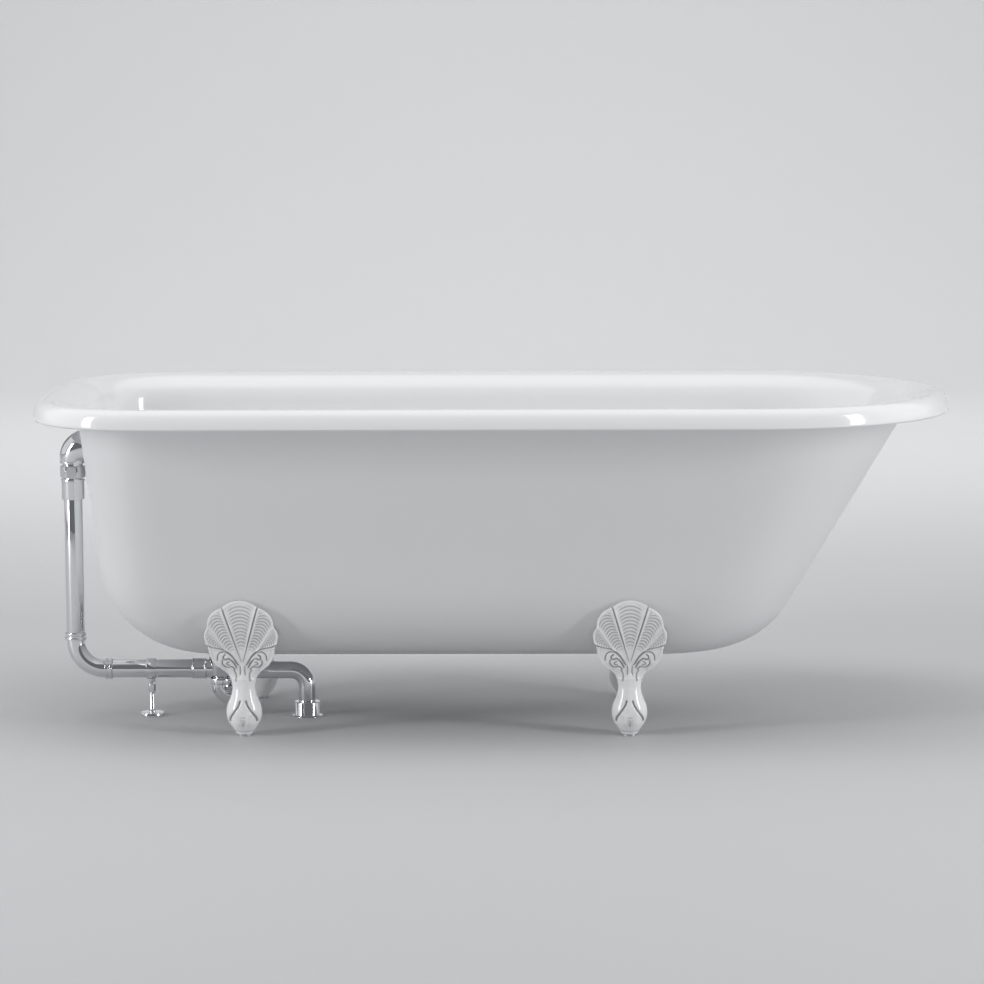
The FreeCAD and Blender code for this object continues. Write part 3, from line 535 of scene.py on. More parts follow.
def rounded_piece(name: str, node: str, bm: bmesh.types.BMesh, rounding: Point = PIPE_EDGE,
                  finish: Finish = CHROME, body: Body = Body.BATH) -> None:
    """Rounds a mesh's edges and makes it the piece for one CAD node.

    Args:
        name: The piece's name.
        node: The node it replaces.
        bm: Its mesh, which is used up.
        rounding: Width of the rounding, and the angle in degrees from which an edge gets it.
        finish: Its finish.
        body: The body it rides on.
    """
    soften(bm, *rounding)
    add_piece(name, bm, finish, body, [node])


def turned_piece(name: str, node: str, profile: Sequence[Point], at: Vector, axis: Vector = UP,
                 rounding: Point = PIPE_EDGE, steps: int = 72, body: Body = Body.BATH) -> None:
    """Makes a chromed piece that is turned in one.

    Args:
        name: The piece's name.
        node: The node it replaces.
        profile: Its profile, as lathe takes it.
        at: The axis's start.
        axis: The axis's direction.
        rounding: As rounded_piece takes it.
        steps: Sides of the circle.
        body: The body it rides on.
    """
    bm = bmesh.new()
    lathe(bm, profile, at, axis, steps)
    rounded_piece(name, node, bm, rounding, body=body)


def nut_piece(name: str, node: str, size: Point, bore: float, at: Vector, rounding: Point, bevel: float = 1.6,
              steps: int = 96, finish: Finish = CHROME, body: Body = Body.BATH) -> None:
    """Makes an upright hexagonal nut.

    Args:
        name: The piece's name.
        node: The node it replaces.
        size: Width across its flats and its length.
        bore: Radius of its bore.
        at: The middle of its lower end.
        rounding: As rounded_piece takes it.
        bevel: Length of the chamfer at each end.
        steps: Sides of the blank.
        finish: Its finish.
        body: The body it rides on.
    """
    flats, length = size
    bm = bmesh.new()
    blank = lathe(bm, nut_profile(length, flats / math.sqrt(3), bore, bevel), at, UP, steps)
    hexed(blank, at, UP, flats)
    rounded_piece(name, node, bm, rounding, finish, body)


def arc_through(start: Point, middle: Point, end: Point, steps: int) -> list[Point]:
    """Points along the arc from start to end by way of middle, start and end included."""
    (ax, ay), (bx, by), (cx, cy) = start, middle, end
    d = 2 * (ax * (by - cy) + bx * (cy - ay) + cx * (ay - by))
    a2, b2, c2 = ax * ax + ay * ay, bx * bx + by * by, cx * cx + cy * cy
    ux = (a2 * (by - cy) + b2 * (cy - ay) + c2 * (ay - by)) / d
    uy = (a2 * (cx - bx) + b2 * (ax - cx) + c2 * (bx - ax)) / d
    first = math.atan2(ay - uy, ax - ux)
    sweep = (math.atan2(cy - uy, cx - ux) - first) % (2 * math.pi)
    if (math.atan2(by - uy, bx - ux) - first) % (2 * math.pi) > sweep:
        sweep -= 2 * math.pi
    radius = math.hypot(ax - ux, ay - uy)
    angles = (first + sweep * i / steps for i in range(steps + 1))
    return [(ux + radius * math.cos(angle), uy + radius * math.sin(angle)) for angle in angles]


# ---- the bath ----
@dataclass
class RollTopBath:
    """The bath shell: sloping walls and base under a broad rolled rim."""

    length: float = 1700.0
    width: float = 750.0
    height: float = 622.0
    end_radius: float = 2000.0
    corner_radius: float = 222.0
    wall: float = 10.0
    depth: float = 484.0
    crest_inset: float = 22.0
    lip_drop: float = 32.0
    lip_face_radius: float = 60.0
    roll_inset: float = 52.5
    roll_depth: float = 48.0
    roll_radius: float = 39.5
    join_depth: float = 28.0
    side: Point = (5.0, 170.0)
    tap: Point = (7.2, 200.0)
    head: Point = (30.9, 170.0)
    waste_x: float = -520.0
    waste_hole: float = 21.0
    waste_recess: float = 36.0
    overflow_drop: float = 106.0
    overflow_hole: float = 24.0
    boss_radius: float = 18.0
    boss_y: float = 145.0
    boss_low: float = 122.0
    boss_stations: Point = (-460.0, 251.0)
    boss_rise: float = 11.0
    bolt_hole: float = 5.1
    drill_lead: float = 10.0
    drill_reach: float = 40.0
    # where the satin outside, greyed with painted shade, begins under the crest, and how far its faces must
    # tilt down
    satin_from: float = 33.0
    satin_tilt: float = 0.02
    plan_steps: tuple[int, ...] = (56, 24, 36, 96)
    rim_steps: tuple[int, ...] = (8, 7, 7, 9)
    lip_steps: int = 8
    wall_steps: int = 44

    def inset(self, depth: float, form: Point, skin: float) -> float:
        """How far in from the rim's edge a wall stands.

        Args:
            depth: Depth under the rim's crest.
            form: The wall's slope in degrees and the radius where it turns into the base.
            skin: 0 for the outside, the wall's thickness for the inside.

        Returns:
            The distance in.
        """
        slope, turn = form
        lean = math.radians(slope)
        roll = self.roll_radius - self.wall + skin
        line_start = self.roll_depth - roll * math.sin(lean)
        if depth < line_start:
            return self.roll_inset + math.sqrt(roll ** 2 - (self.roll_depth - depth) ** 2)
        line = self.roll_inset + roll * math.cos(lean)
        radius = turn - skin
        centre_v = self.depth - turn
        if depth <= centre_v + radius * math.sin(lean):
            return line + (depth - line_start) * math.tan(lean)
        centre_u = line + (centre_v - line_start) * math.tan(lean) + radius / math.cos(lean)
        return centre_u - math.sqrt(max(radius ** 2 - (depth - centre_v) ** 2, 0.0))

    def side_half(self, height: float) -> float:
        """The bath's outer half width at a height over the floor."""
        return self.width / 2 - self.inset(self.height - height, self.side, 0.0)

    def plan(self, tap_x: float, head_x: float, half: float, end_r: float, corner_r: float) -> np.ndarray:
        """Points once round the bath's plan at one level.

        Args:
            tap_x: Where the tap end's wall stands.
            head_x: Where the head end's wall stands.
            half: Half width.
            end_r: Radius of the tap end.
            corner_r: Radius of the tap end's corners.

        Returns:
            An array of x and y, the first point again at the end.
        """
        corner_x = tap_x + end_r - math.sqrt((end_r - corner_r) ** 2 - (half - corner_r) ** 2)
        corner_y = half - corner_r
        reach = math.hypot(tap_x + end_r - corner_x, corner_y)
        touch = (tap_x + end_r - end_r * (tap_x + end_r - corner_x) / reach, end_r * corner_y / reach)
        mid = math.atan2(touch[1] - corner_y, touch[0] - corner_x) / 2 + math.pi / 4
        bulge = (corner_x + corner_r * math.cos(mid), corner_y + corner_r * math.sin(mid))
        flank, bend, across, round_head = self.plan_steps
        head_c = head_x - half
        far = [(head_c + (corner_x - head_c) * i / flank, half) for i in range(flank)]
        far += arc_through((corner_x, half), bulge, touch, bend)
        near = [(x, -y) for x, y in reversed(far)]
        tap = arc_through(touch, (tap_x, 0.0), (touch[0], -touch[1]), across)
        head = arc_through((head_c, -half), (head_x, 0.0), (head_c, half), round_head)
        return np.array(far[:-1] + tap[:-1] + near[:-1] + head)

    def painted(self, at: Vector, normal: Vector) -> bool:
        """Whether a face belongs to the outside under the rim's lip, which takes the satin finish greyed with
        painted shade.

        Args:
            at: The face's middle in mm.
            normal: Its normal.

        Returns:
            True for the outer walls and the base's underside.
        """
        return self.height - at.z > self.satin_from and normal.z < -self.satin_tilt

    def wall_row(self, depth: float, skin: float) -> np.ndarray:
        """The points of one level of the walls, inside or outside."""
        join = self.inset(self.join_depth, self.side, skin)
        share = (self.corner_radius - join) / (self.width / 2 - join)
        half = self.width / 2 - self.inset(depth, self.side, skin)
        return self.level(self.plan(-self.length / 2 + self.inset(depth, self.tap, skin),
                                    self.length / 2 - self.inset(depth, self.head, skin),
                                    half, self.end_radius - join, share * half), depth)

    def rim_row(self, inset: float, depth: float) -> np.ndarray:
        """The points of one line round the rim."""
        return self.level(self.plan(-self.length / 2 + inset, self.length / 2 - inset, self.width / 2 - inset,
                                    self.end_radius - inset, self.corner_radius - inset), depth)

    def level(self, plan: np.ndarray, depth: float) -> np.ndarray:
        """Lifts plan points to their level."""
        return np.column_stack([plan, np.full(len(plan), self.height - depth)])

    def rim_track(self, skin: float) -> list[Point]:
        """The rim's face in a cut across it, from the lip's foot to the join.

        Args:
            skin: 0 for the face that shows, the wall's thickness for the one beneath.

        Returns:
            (inset, height under the crest as a negative number) points.
        """
        unit = Vector.normalized
        lip_r = self.lip_face_radius
        lip_c = Vector((lip_r, -self.lip_drop))
        run = lip_r - self.crest_inset
        small = (lip_r ** 2 - run ** 2 - self.lip_drop ** 2) / (2 * (lip_r - self.lip_drop))
        crest_c = Vector((self.crest_inset, -small))
        roll_c = Vector((self.roll_inset, -self.roll_depth))
        run, rolled = self.roll_inset - self.crest_inset, self.roll_radius
        big = (run ** 2 + self.roll_depth ** 2 - rolled ** 2) / (2 * (self.roll_depth - rolled))
        top_c = Vector((self.crest_inset, -big))
        lip_line = unit(crest_c - lip_c)
        roll_line = unit(roll_c - top_c)
        up = Vector((0, 1))
        face_r, small_r, big_r, roll_r = (r - skin for r in (lip_r, small, big, rolled))
        foot = lip_c - Vector((face_r, 0))
        meet = lip_c + lip_line * face_r
        crest = Vector((self.crest_inset, -skin))
        turn_in = top_c + roll_line * big_r
        end = Vector((self.roll_inset + math.sqrt(roll_r ** 2 - (self.roll_depth - self.join_depth) ** 2),
                      -self.join_depth))
        arcs = ((foot, lip_c + unit(unit(foot - lip_c) + lip_line) * face_r, meet),
                (meet, crest_c + unit(lip_line + up) * small_r, crest),
                (crest, top_c + unit(up + roll_line) * big_r, turn_in),
                (turn_in, roll_c + unit(roll_line + unit(end - roll_c)) * roll_r, end))
        track = []
        for arc, steps in zip(arcs, self.rim_steps):
            track += arc_through(*(tuple(p) for p in arc), steps)[:-1]
        return track + [tuple(end)]

    def rows(self) -> list[np.ndarray]:
        """Every line round the shell, from the basin's floor over the rim and down to the base."""
        swing = [math.sin(math.pi / 2 * i / self.wall_steps) for i in range(1, self.wall_steps + 1)]

        def depths(skin: float) -> list[float]:
            """Depths down one face of the wall, closer together towards the base."""
            return [self.join_depth + (self.depth - skin - self.join_depth) * s for s in swing]

        over, under = self.rim_track(0.0), self.rim_track(self.wall)
        lip = ((over[0][0] + under[0][0]) / 2, over[0][1] - self.wall / 2)
        rows = [self.wall_row(d, self.wall) for d in reversed(depths(self.wall))]
        rows += [self.rim_row(u, -v) for u, v in reversed(over)]
        rows += [self.rim_row(u, -v) for u, v in arc_through(over[0], lip, under[0], self.lip_steps)[1:-1]]
        rows += [self.rim_row(u, -v) for u, v in under]
        return rows + [self.wall_row(d, 0.0) for d in depths(0.0)]

    def build(self) -> None:
        """Builds the shell with its holes and bosses."""
        rows = self.rows()
        count = len(rows[0]) - 1
        bm = bmesh.new()
        bmesh.ops.create_grid(bm, x_segments=count, y_segments=len(rows) - 1, size=1.0)
        for vert in bm.verts:
            column = round((vert.co.x + 1) / 2 * count)
            row = round((vert.co.y + 1) / 2 * (len(rows) - 1))
            vert.co = rows[row][column]
        bmesh.ops.remove_doubles(bm, verts=bm.verts, dist=WELD)
        close_holes(bm)
        bmesh.ops.recalc_face_normals(bm, faces=bm.faces)
        floor = self.height - self.depth
        bosses = bmesh.new()
        for x in self.boss_stations:
            for y in (-self.boss_y, self.boss_y):
                boss = Sweep(bosses, Vector((x, y, self.boss_low)), UP, self.boss_radius, self.bolt_hole)
                boss.run(floor + self.boss_rise - self.boss_low)
        drills = bmesh.new()
        waste = Vector((self.waste_x, 0, floor))
        wall_x = -self.length / 2 + self.inset(self.overflow_drop, self.tap, 0.0)
        overflow = Vector((wall_x, 0, self.height - self.overflow_drop))
        for at, axis, radius in ((waste - UP * self.drill_lead, UP, self.waste_hole),
                                 (waste + UP * (self.wall - 1), UP, self.waste_recess),
                                 (overflow - ALONG * self.drill_lead, ALONG, self.overflow_hole)):
            Sweep(drills, at, axis, radius, 0).run(self.drill_reach)
        bm = combined(combined(bm, bosses, "UNION"), drills)
        shell = add_piece("roll_top_shell", bm, GLOSS_WHITE, Body.BATH, ["tub_shell"], crease=40.0)
        # the outer walls and the base's underside take the satin finish, whose greyer colour is painted shade
        shell.data.materials.append(SATIN_SHADED_WHITE.material())
        for face in shell.data.polygons:
            face.material_index = int(self.painted(face.center / MM, face.normal))


# ---- the feet ----
@dataclass
class ClawFoot:
    """One pattern of cast foot, a shell over a claw on a ball, used at all four corners."""

    bath: RollTopBath
    reach: float = 190.0
    pad_top: float = 3.0
    fan_height: float = 137.0
    plate_thickness: float = 13.0
    plate_gap: float = 0.3
    edge_round: float = 4.0
    wrap_depth: float = 0.6
    wrap_end: float = 108.0
    wrap_blend: float = 34.0
    voxel: float = 0.95
    stations: tuple = (("tap", -460.0), ("head", 251.0))
    leg_cuts: tuple = (
        (0, 0, 15, 15), (5, 0, 17.5, 17.5), (12, 1, 22.5, 22), (23, 3, 29, 27), (34, 4, 32.5, 29),
        (43, 5, 33, 29), (55, 6, 31, 27), (69, 7, 25, 23), (89, 8, 21, 18), (105, 10, 24, 17),
        (119, 14, 29, 11.5), (130, 17, 30, 10.5))
    plate_lean: tuple = ((23, 100), (33, 138), (46, 168), (62, 200), (78, 236), (83, 270))
    notches: tuple = ((32.0, 250.0), (60.5, 211.0))
    crowns: tuple = ((54.0, 236.5), (68.0, 192.0))
    shield: tuple = ((60.5, 175.0), (57.5, 152.0), (46.9, 134.0), (31.0, 119.0), (22.5, 106.0))
    shell_top: float = 264.0
    scroll: Point = (30.0, 147.0)
    strokes: tuple = (
        (((45.4, 146.0), (44.6, 154.0), (41.0, 160.0), (34.0, 162.5), (25.0, 160.0), (15.5, 150.0),
          (7.5, 136.0)), 1.8, 1.3),
        (((30.5, 156.5), (34.0, 153.0), (33.5, 148.5), (29.5, 147.5), (24.5, 149.0), (16.8, 142.0),
          (10.8, 131.0)), 2.2, 1.5),
        (((36.0, 146.0), (36.5, 139.5), (32.5, 133.5), (26.6, 131.0), (19.5, 132.5), (13.8, 127.0)),
         1.8, 1.4),
        (((24.5, 143.0), (28.0, 141.0), (27.5, 137.0), (23.0, 136.0)), 1.8, 1.2),
        (((16.0, 125.0), (12.2, 117.0), (12.8, 105.0)), 1.6, 1.4),
        (((4.6, 134.0), (3.6, 124.0), (4.6, 117.0)), 1.5, 1.0),
        (((5.5, 68.0), (9.0, 59.0), (16.5, 47.5), (23.5, 37.5), (25.5, 30.0)), 2.6, 1.7),
        (((0.0, 37.0), (3.8, 37.0)), 1.0, 1.0),
        (((0.0, 33.0), (0.0, 20.0)), 1.0, 1.2),
        (((4.5, 33.0), (1.5, 21.0)), 0.7, 1.0))
    ribs: tuple = ((((0.0, 133.0), (0.0, 118.0)), 1.8, 2.2), (((0.0, 112.0), (0.0, 52.0)), 1.3, 4.5),
                   (((12.0, 44.0), (9.0, 28.0)), 1.8, 6.0))
    lobe_ridges: tuple = ((7.0, 1.2), (6.2, 1.5), (4.6, 1.0))
    bound_cuts: tuple[float, ...] = (1.0, 0.25, 1.0)
    lug_at: tuple[float, float, float] = (0.0, -155.5, 117.0)
    lug_size: tuple[float, float, float] = (34.0, 73.0, 10.0)
    plate_grid: tuple[int, int] = (240, 120)
    leg_grid: tuple[int, int] = (96, 90)

    def outline(self) -> tuple[np.ndarray, np.ndarray]:
        """The plate's outline about the fan's centre.

        Returns:
            Angles from straight up in degrees, 0 to 180, and the radius at each.
        """
        (n1, n2), (c1, c2) = self.notches, self.crowns
        hem, flank, waist, bow, neck = self.shield
        points = arc_through((-n1[0], n1[1]), (0.0, self.shell_top), n1, 32)[16:]
        for three in ((n1, c1, n2), (n2, c2, hem), (hem, flank, waist), (waist, bow, neck)):
            points += arc_through(*three, 20)[1:]
        points += [(neck[0] * (1 - i / 8), neck[1]) for i in range(1, 9)]
        polar = [(math.degrees(math.atan2(x, z - self.fan_height)), math.hypot(x, z - self.fan_height))
                 for x, z in points]
        angles, radii = zip(*polar)
        return np.array(angles), np.array(radii)

    def lean(self, height: np.ndarray) -> np.ndarray:
        """How far the plate's face leans out at a height."""
        out, up = zip(*self.plate_lean)
        return np.interp(height, up, out)

    def face_y(self, x: float, z: float) -> float:
        """Where the plate's face stands, wrapping round the leg towards the neck."""
        face = -self.reach - float(self.lean(z))
        cuts = np.array(self.leg_cuts, dtype=float)
        lean, wide, deep = (self.smooth(z - self.pad_top, cuts[:, 0], cuts[:, i]) for i in (1, 2, 3))
        wrap = -self.reach - lean - deep * math.sqrt(max(1 - (x / wide) ** 2, 0.0)) + self.wrap_depth
        share = min(max((z - self.wrap_end) / self.wrap_blend, 0.0), 1.0)
        return wrap + (face - wrap) * share * share * (3 - 2 * share)

    def plate(self, bm: bmesh.types.BMesh) -> None:
        """Adds the shell and shield as one crowned slab."""
        turns, rows = self.plate_grid
        grid = bmesh.ops.create_grid(bm, x_segments=turns, y_segments=rows, size=1.0)["verts"]
        angles, radii = self.outline()
        for vert in grid:
            angle = vert.co.x * 180.0
            share = vert.co.y + 1.0
            edge = float(np.interp(abs(angle), angles, radii))
            part = share if share <= 1 else 2 - share
            radius = edge * part
            x = radius * math.sin(math.radians(angle))
            z = self.fan_height + radius * math.cos(math.radians(angle))
            front = self.face_y(x, z)
            away = max(self.edge_round - (edge - radius), 0.0)
            drop = self.edge_round - math.sqrt(max(self.edge_round ** 2 - away ** 2, 0.0))
            if share <= 1:
                y = front + drop
            else:
                y = front + self.plate_thickness
                if z > self.bath.height - self.bath.depth:
                    y = min(y, -self.bath.side_half(z) - self.plate_gap)
            vert.co = (x, y, z)
        bmesh.ops.remove_doubles(bm, verts=grid, dist=WELD)

    def leg(self, bm: bmesh.types.BMesh) -> None:
        """Adds the claw on its ball and the neck that rises into the plate."""
        turns, rows = self.leg_grid
        grid = bmesh.ops.create_grid(bm, x_segments=turns, y_segments=rows, size=1.0)["verts"]
        cuts = np.array(self.leg_cuts, dtype=float)
        for vert in grid:
            height = (vert.co.y + 1) / 2 * cuts[-1, 0]
            angle = vert.co.x * math.pi
            lean, wide, deep = (self.smooth(height, cuts[:, 0], cuts[:, i]) for i in (1, 2, 3))
            y = -self.reach - lean - deep * math.cos(angle)
            vert.co = (wide * math.sin(angle), y, self.pad_top + height)
        bmesh.ops.remove_doubles(bm, verts=grid, dist=WELD)
        close_holes(bm)

    @staticmethod
    def smooth(at: float, known: np.ndarray, values: np.ndarray) -> float:
        """A value between known ones, on a curve with no corners."""
        slopes = np.gradient(values, known)
        i = int(np.clip(np.searchsorted(known, at) - 1, 0, len(known) - 2))
        span = known[i + 1] - known[i]
        t = (at - known[i]) / span
        late = 3 * t ** 2 - 2 * t ** 3
        return float((1 - late) * values[i] + (t ** 3 - 2 * t ** 2 + t) * span * slopes[i]
                     + late * values[i + 1] + (t ** 3 - t ** 2) * span * slopes[i + 1])

    @staticmethod
    def curved(line: Sequence[Point], steps: int = 5) -> list[Point]:
        """A line through the same points with no corners."""
        ends = [Vector(line[0]), *(Vector(p) for p in line), Vector(line[-1])]
        out = []
        for before, start, end, after in zip(ends, ends[1:], ends[2:], ends[3:]):
            for i in range(steps):
                t = i / steps
                out.append(0.5 * (2 * start + (end - before) * t
                                  + (2 * before - 5 * start + 4 * end - after) * t ** 2
                                  + (3 * start - before - 3 * end + after) * t ** 3))
        return [tuple(p) for p in (*out, ends[-1])]

    @staticmethod
    def groove(x: np.ndarray, z: np.ndarray, line: Sequence[Point], width: float) -> np.ndarray:
        """A soft channel along a line: 1 in its middle, 0 away from it."""
        best = np.full_like(x, 1e9)
        line = ClawFoot.curved(line)
        for (ax, az), (bx, bz) in zip(line, line[1:]):
            dx, dz = bx - ax, bz - az
            t = np.clip(((x - ax) * dx + (z - az) * dz) / (dx * dx + dz * dz), 0, 1)
            best = np.minimum(best, np.hypot(x - ax - t * dx, z - az - t * dz))
        return ClawFoot.bell(best, width)

    @staticmethod
    def bell(away: np.ndarray, width: float) -> np.ndarray:
        """1 in the middle, falling smoothly to 0 on both sides."""
        return np.exp(-(away / width) ** 2)

    @staticmethod
    def ease(value: np.ndarray, low: float, high: float) -> np.ndarray:
        """0 below low, 1 above high, smooth between."""
        t = np.clip((value - low) / (high - low), 0, 1)
        return t * t * (3 - 2 * t)

    def relief(self, x: np.ndarray, z: np.ndarray) -> tuple[np.ndarray, np.ndarray]:
        """The carving over the plain casting, at points seen from the front.

        Args:
            x: Distance from the foot's middle.
            z: Height over the floor.

        Returns:
            Heights, negative in the hollows, and the painted shade to lay in the grooves.
        """
        ease, bell = self.ease, self.bell
        side = np.abs(x)
        radius = np.hypot(side, z - self.fan_height)
        angle = np.degrees(np.arctan2(side, z - self.fan_height))
        angles, radii = self.outline()
        to_edge = np.interp(angle, angles, radii) - radius
        first, second, third = (math.degrees(math.atan2(px, pz - self.fan_height))
                                for px, pz in (*self.notches, self.shield[0]))
        hem = 44 + (third - 44) * ease(radius, 30, 70) + 50 * (1 - ease(radius, 4, 24))
        second = second + 7 * (1 - ease(radius, 25, 90))
        rise = np.zeros_like(side)
        shade = np.zeros_like(side)
        # three lobes of the fan, each with bowed ridges across it
        for (low, high), (pitch, depth) in zip(((-first, first), (first, second), (second, hem)),
                                               self.lobe_ridges):
            half = np.maximum((high - low) / 2, 1.0)
            across = (angle - (low + high) / 2) / half
            inside = ease(1 - np.abs(across), 0.16, 0.45)
            bowed = radius * (1 + 0.12 * across ** 2)
            ridges = 0.5 + 0.5 * np.cos(2 * math.pi * bowed / pitch)
            fade = inside * ease(radius, 26, 44) * ease(to_edge, 5.0, 8.5)
            rise += fade * depth * (ridges - 0.5)
            rise -= ease(1 - np.abs(across), 0.0, 0.8) * ease(radius, 15, 45)
            # painted shade in the troughs between the ridges
            shade += 0.62 * fade * (1 - ridges)
        # a groove at each lobe's bound, between two beads, with painted shade in the groove
        fan = ease(radius, 3, 9) * ease(hem + 7 - angle, 0, 3)
        scale = 0.45 + 0.55 * ease(radius, 8, 70)
        for bound, cut in zip((first, second, hem), self.bound_cuts):
            away = np.radians(np.abs(angle - bound)) * radius / scale
            rise += 1.7 * fan * scale * (bell(away - 2.8 * cut, 1.4) - cut * bell(away, 1.1))
            shade += fan * cut * bell(away, 1.2)
        # the plain hem along the edge
        upper = ease(z, 104, 112)
        rise += upper * (1.2 * ease(5.0 - to_edge, 0.0, 2.5) - 0.6 * bell(to_edge - 6.5, 1.2))
        # the scroll's boss, the cut strokes with painted shade in them, and the raised ribs
        scroll_x, scroll_z = self.scroll
        rise += 1.4 * bell(np.hypot(side - scroll_x, z - scroll_z), 13.0)
        for line, depth, width in self.strokes:
            mark = self.groove(side, z, line, width)
            rise -= depth * mark
            shade += 0.55 * depth * mark
        for line, height, width in self.ribs:
            rise += height * self.groove(side, z, line, width)
        # small rungs up the neck, and the groove over the pad with painted shade in it
        ladder = ease(z, 78, 84) * ease(116 - z, 0, 6) * bell(side, 3.6)
        rise -= 0.3 * ladder * (0.5 + 0.5 * np.cos(2 * math.pi * z / 4.2))
        ankle = bell(z - self.pad_top - 5.5, 1.3)
        rise -= 0.9 * ankle
        shade += 0.5 * ankle
        return rise, np.clip(shade, 0, 1)

    def casting(self) -> bmesh.types.BMesh:
        """The whole foot for the near side, carved, with the painted shade of the carving as an attribute."""
        bm = bmesh.new()
        self.leg(bm)
        plate = bmesh.new()
        self.plate(plate)
        block(plate, Matrix.Translation(self.lug_at), self.lug_size)
        mesh = as_mesh("passing", plate)
        bm.from_mesh(mesh)
        bpy.data.meshes.remove(mesh)
        bmesh.ops.recalc_face_normals(bm, faces=bm.faces)
        bm = with_modifier(bm, "REMESH", mode="VOXEL", voxel_size=self.voxel, adaptivity=0.0)
        bmesh.ops.smooth_vert(bm, verts=bm.verts, factor=0.5,
                              use_axis_x=True, use_axis_y=True, use_axis_z=True)
        bm.normal_update()
        spots = np.array([v.co[:] for v in bm.verts])
        normals = np.array([v.normal[:] for v in bm.verts])
        heights, shades = self.relief(spots[:, 0], spots[:, 2])
        # the carving fades out where the casting turns away from the front
        front = np.clip((-normals[:, 1] - 0.15) / 0.35, 0, 1)
        moved = spots + normals * (heights * front)[:, None]
        # the painted shade of the grooves goes in a vertex attribute that darkens the foot's colour
        layer = bm.verts.layers.float.new("groove_shade_mask")
        for vert, spot, shade in zip(bm.verts, moved, shades * front):
            vert.co = spot
            vert[layer] = float(shade)
        return bm

    def build(self) -> None:
        """Casts the foot once and sets it at the four corners."""
        pattern = as_mesh("foot_pattern", self.casting())
        for end, x in self.stations:
            for side, turn in (("near", 0.0), ("far", math.pi)):
                copy = bmesh.new()
                copy.from_mesh(pattern)
                bmesh.ops.rotate(copy, cent=(0, 0, 0), matrix=Matrix.Rotation(turn, 3, "Z"), verts=copy.verts)
                bmesh.ops.translate(copy, vec=(x, 0, 0), verts=copy.verts)
                add_piece("claw_foot_%s_%s" % (end, side), copy, FOOT_WHITE, Body.BATH,
                          ["foot_%s_%s" % (end, side)], crease=70.0)
        bpy.data.meshes.remove(pattern)


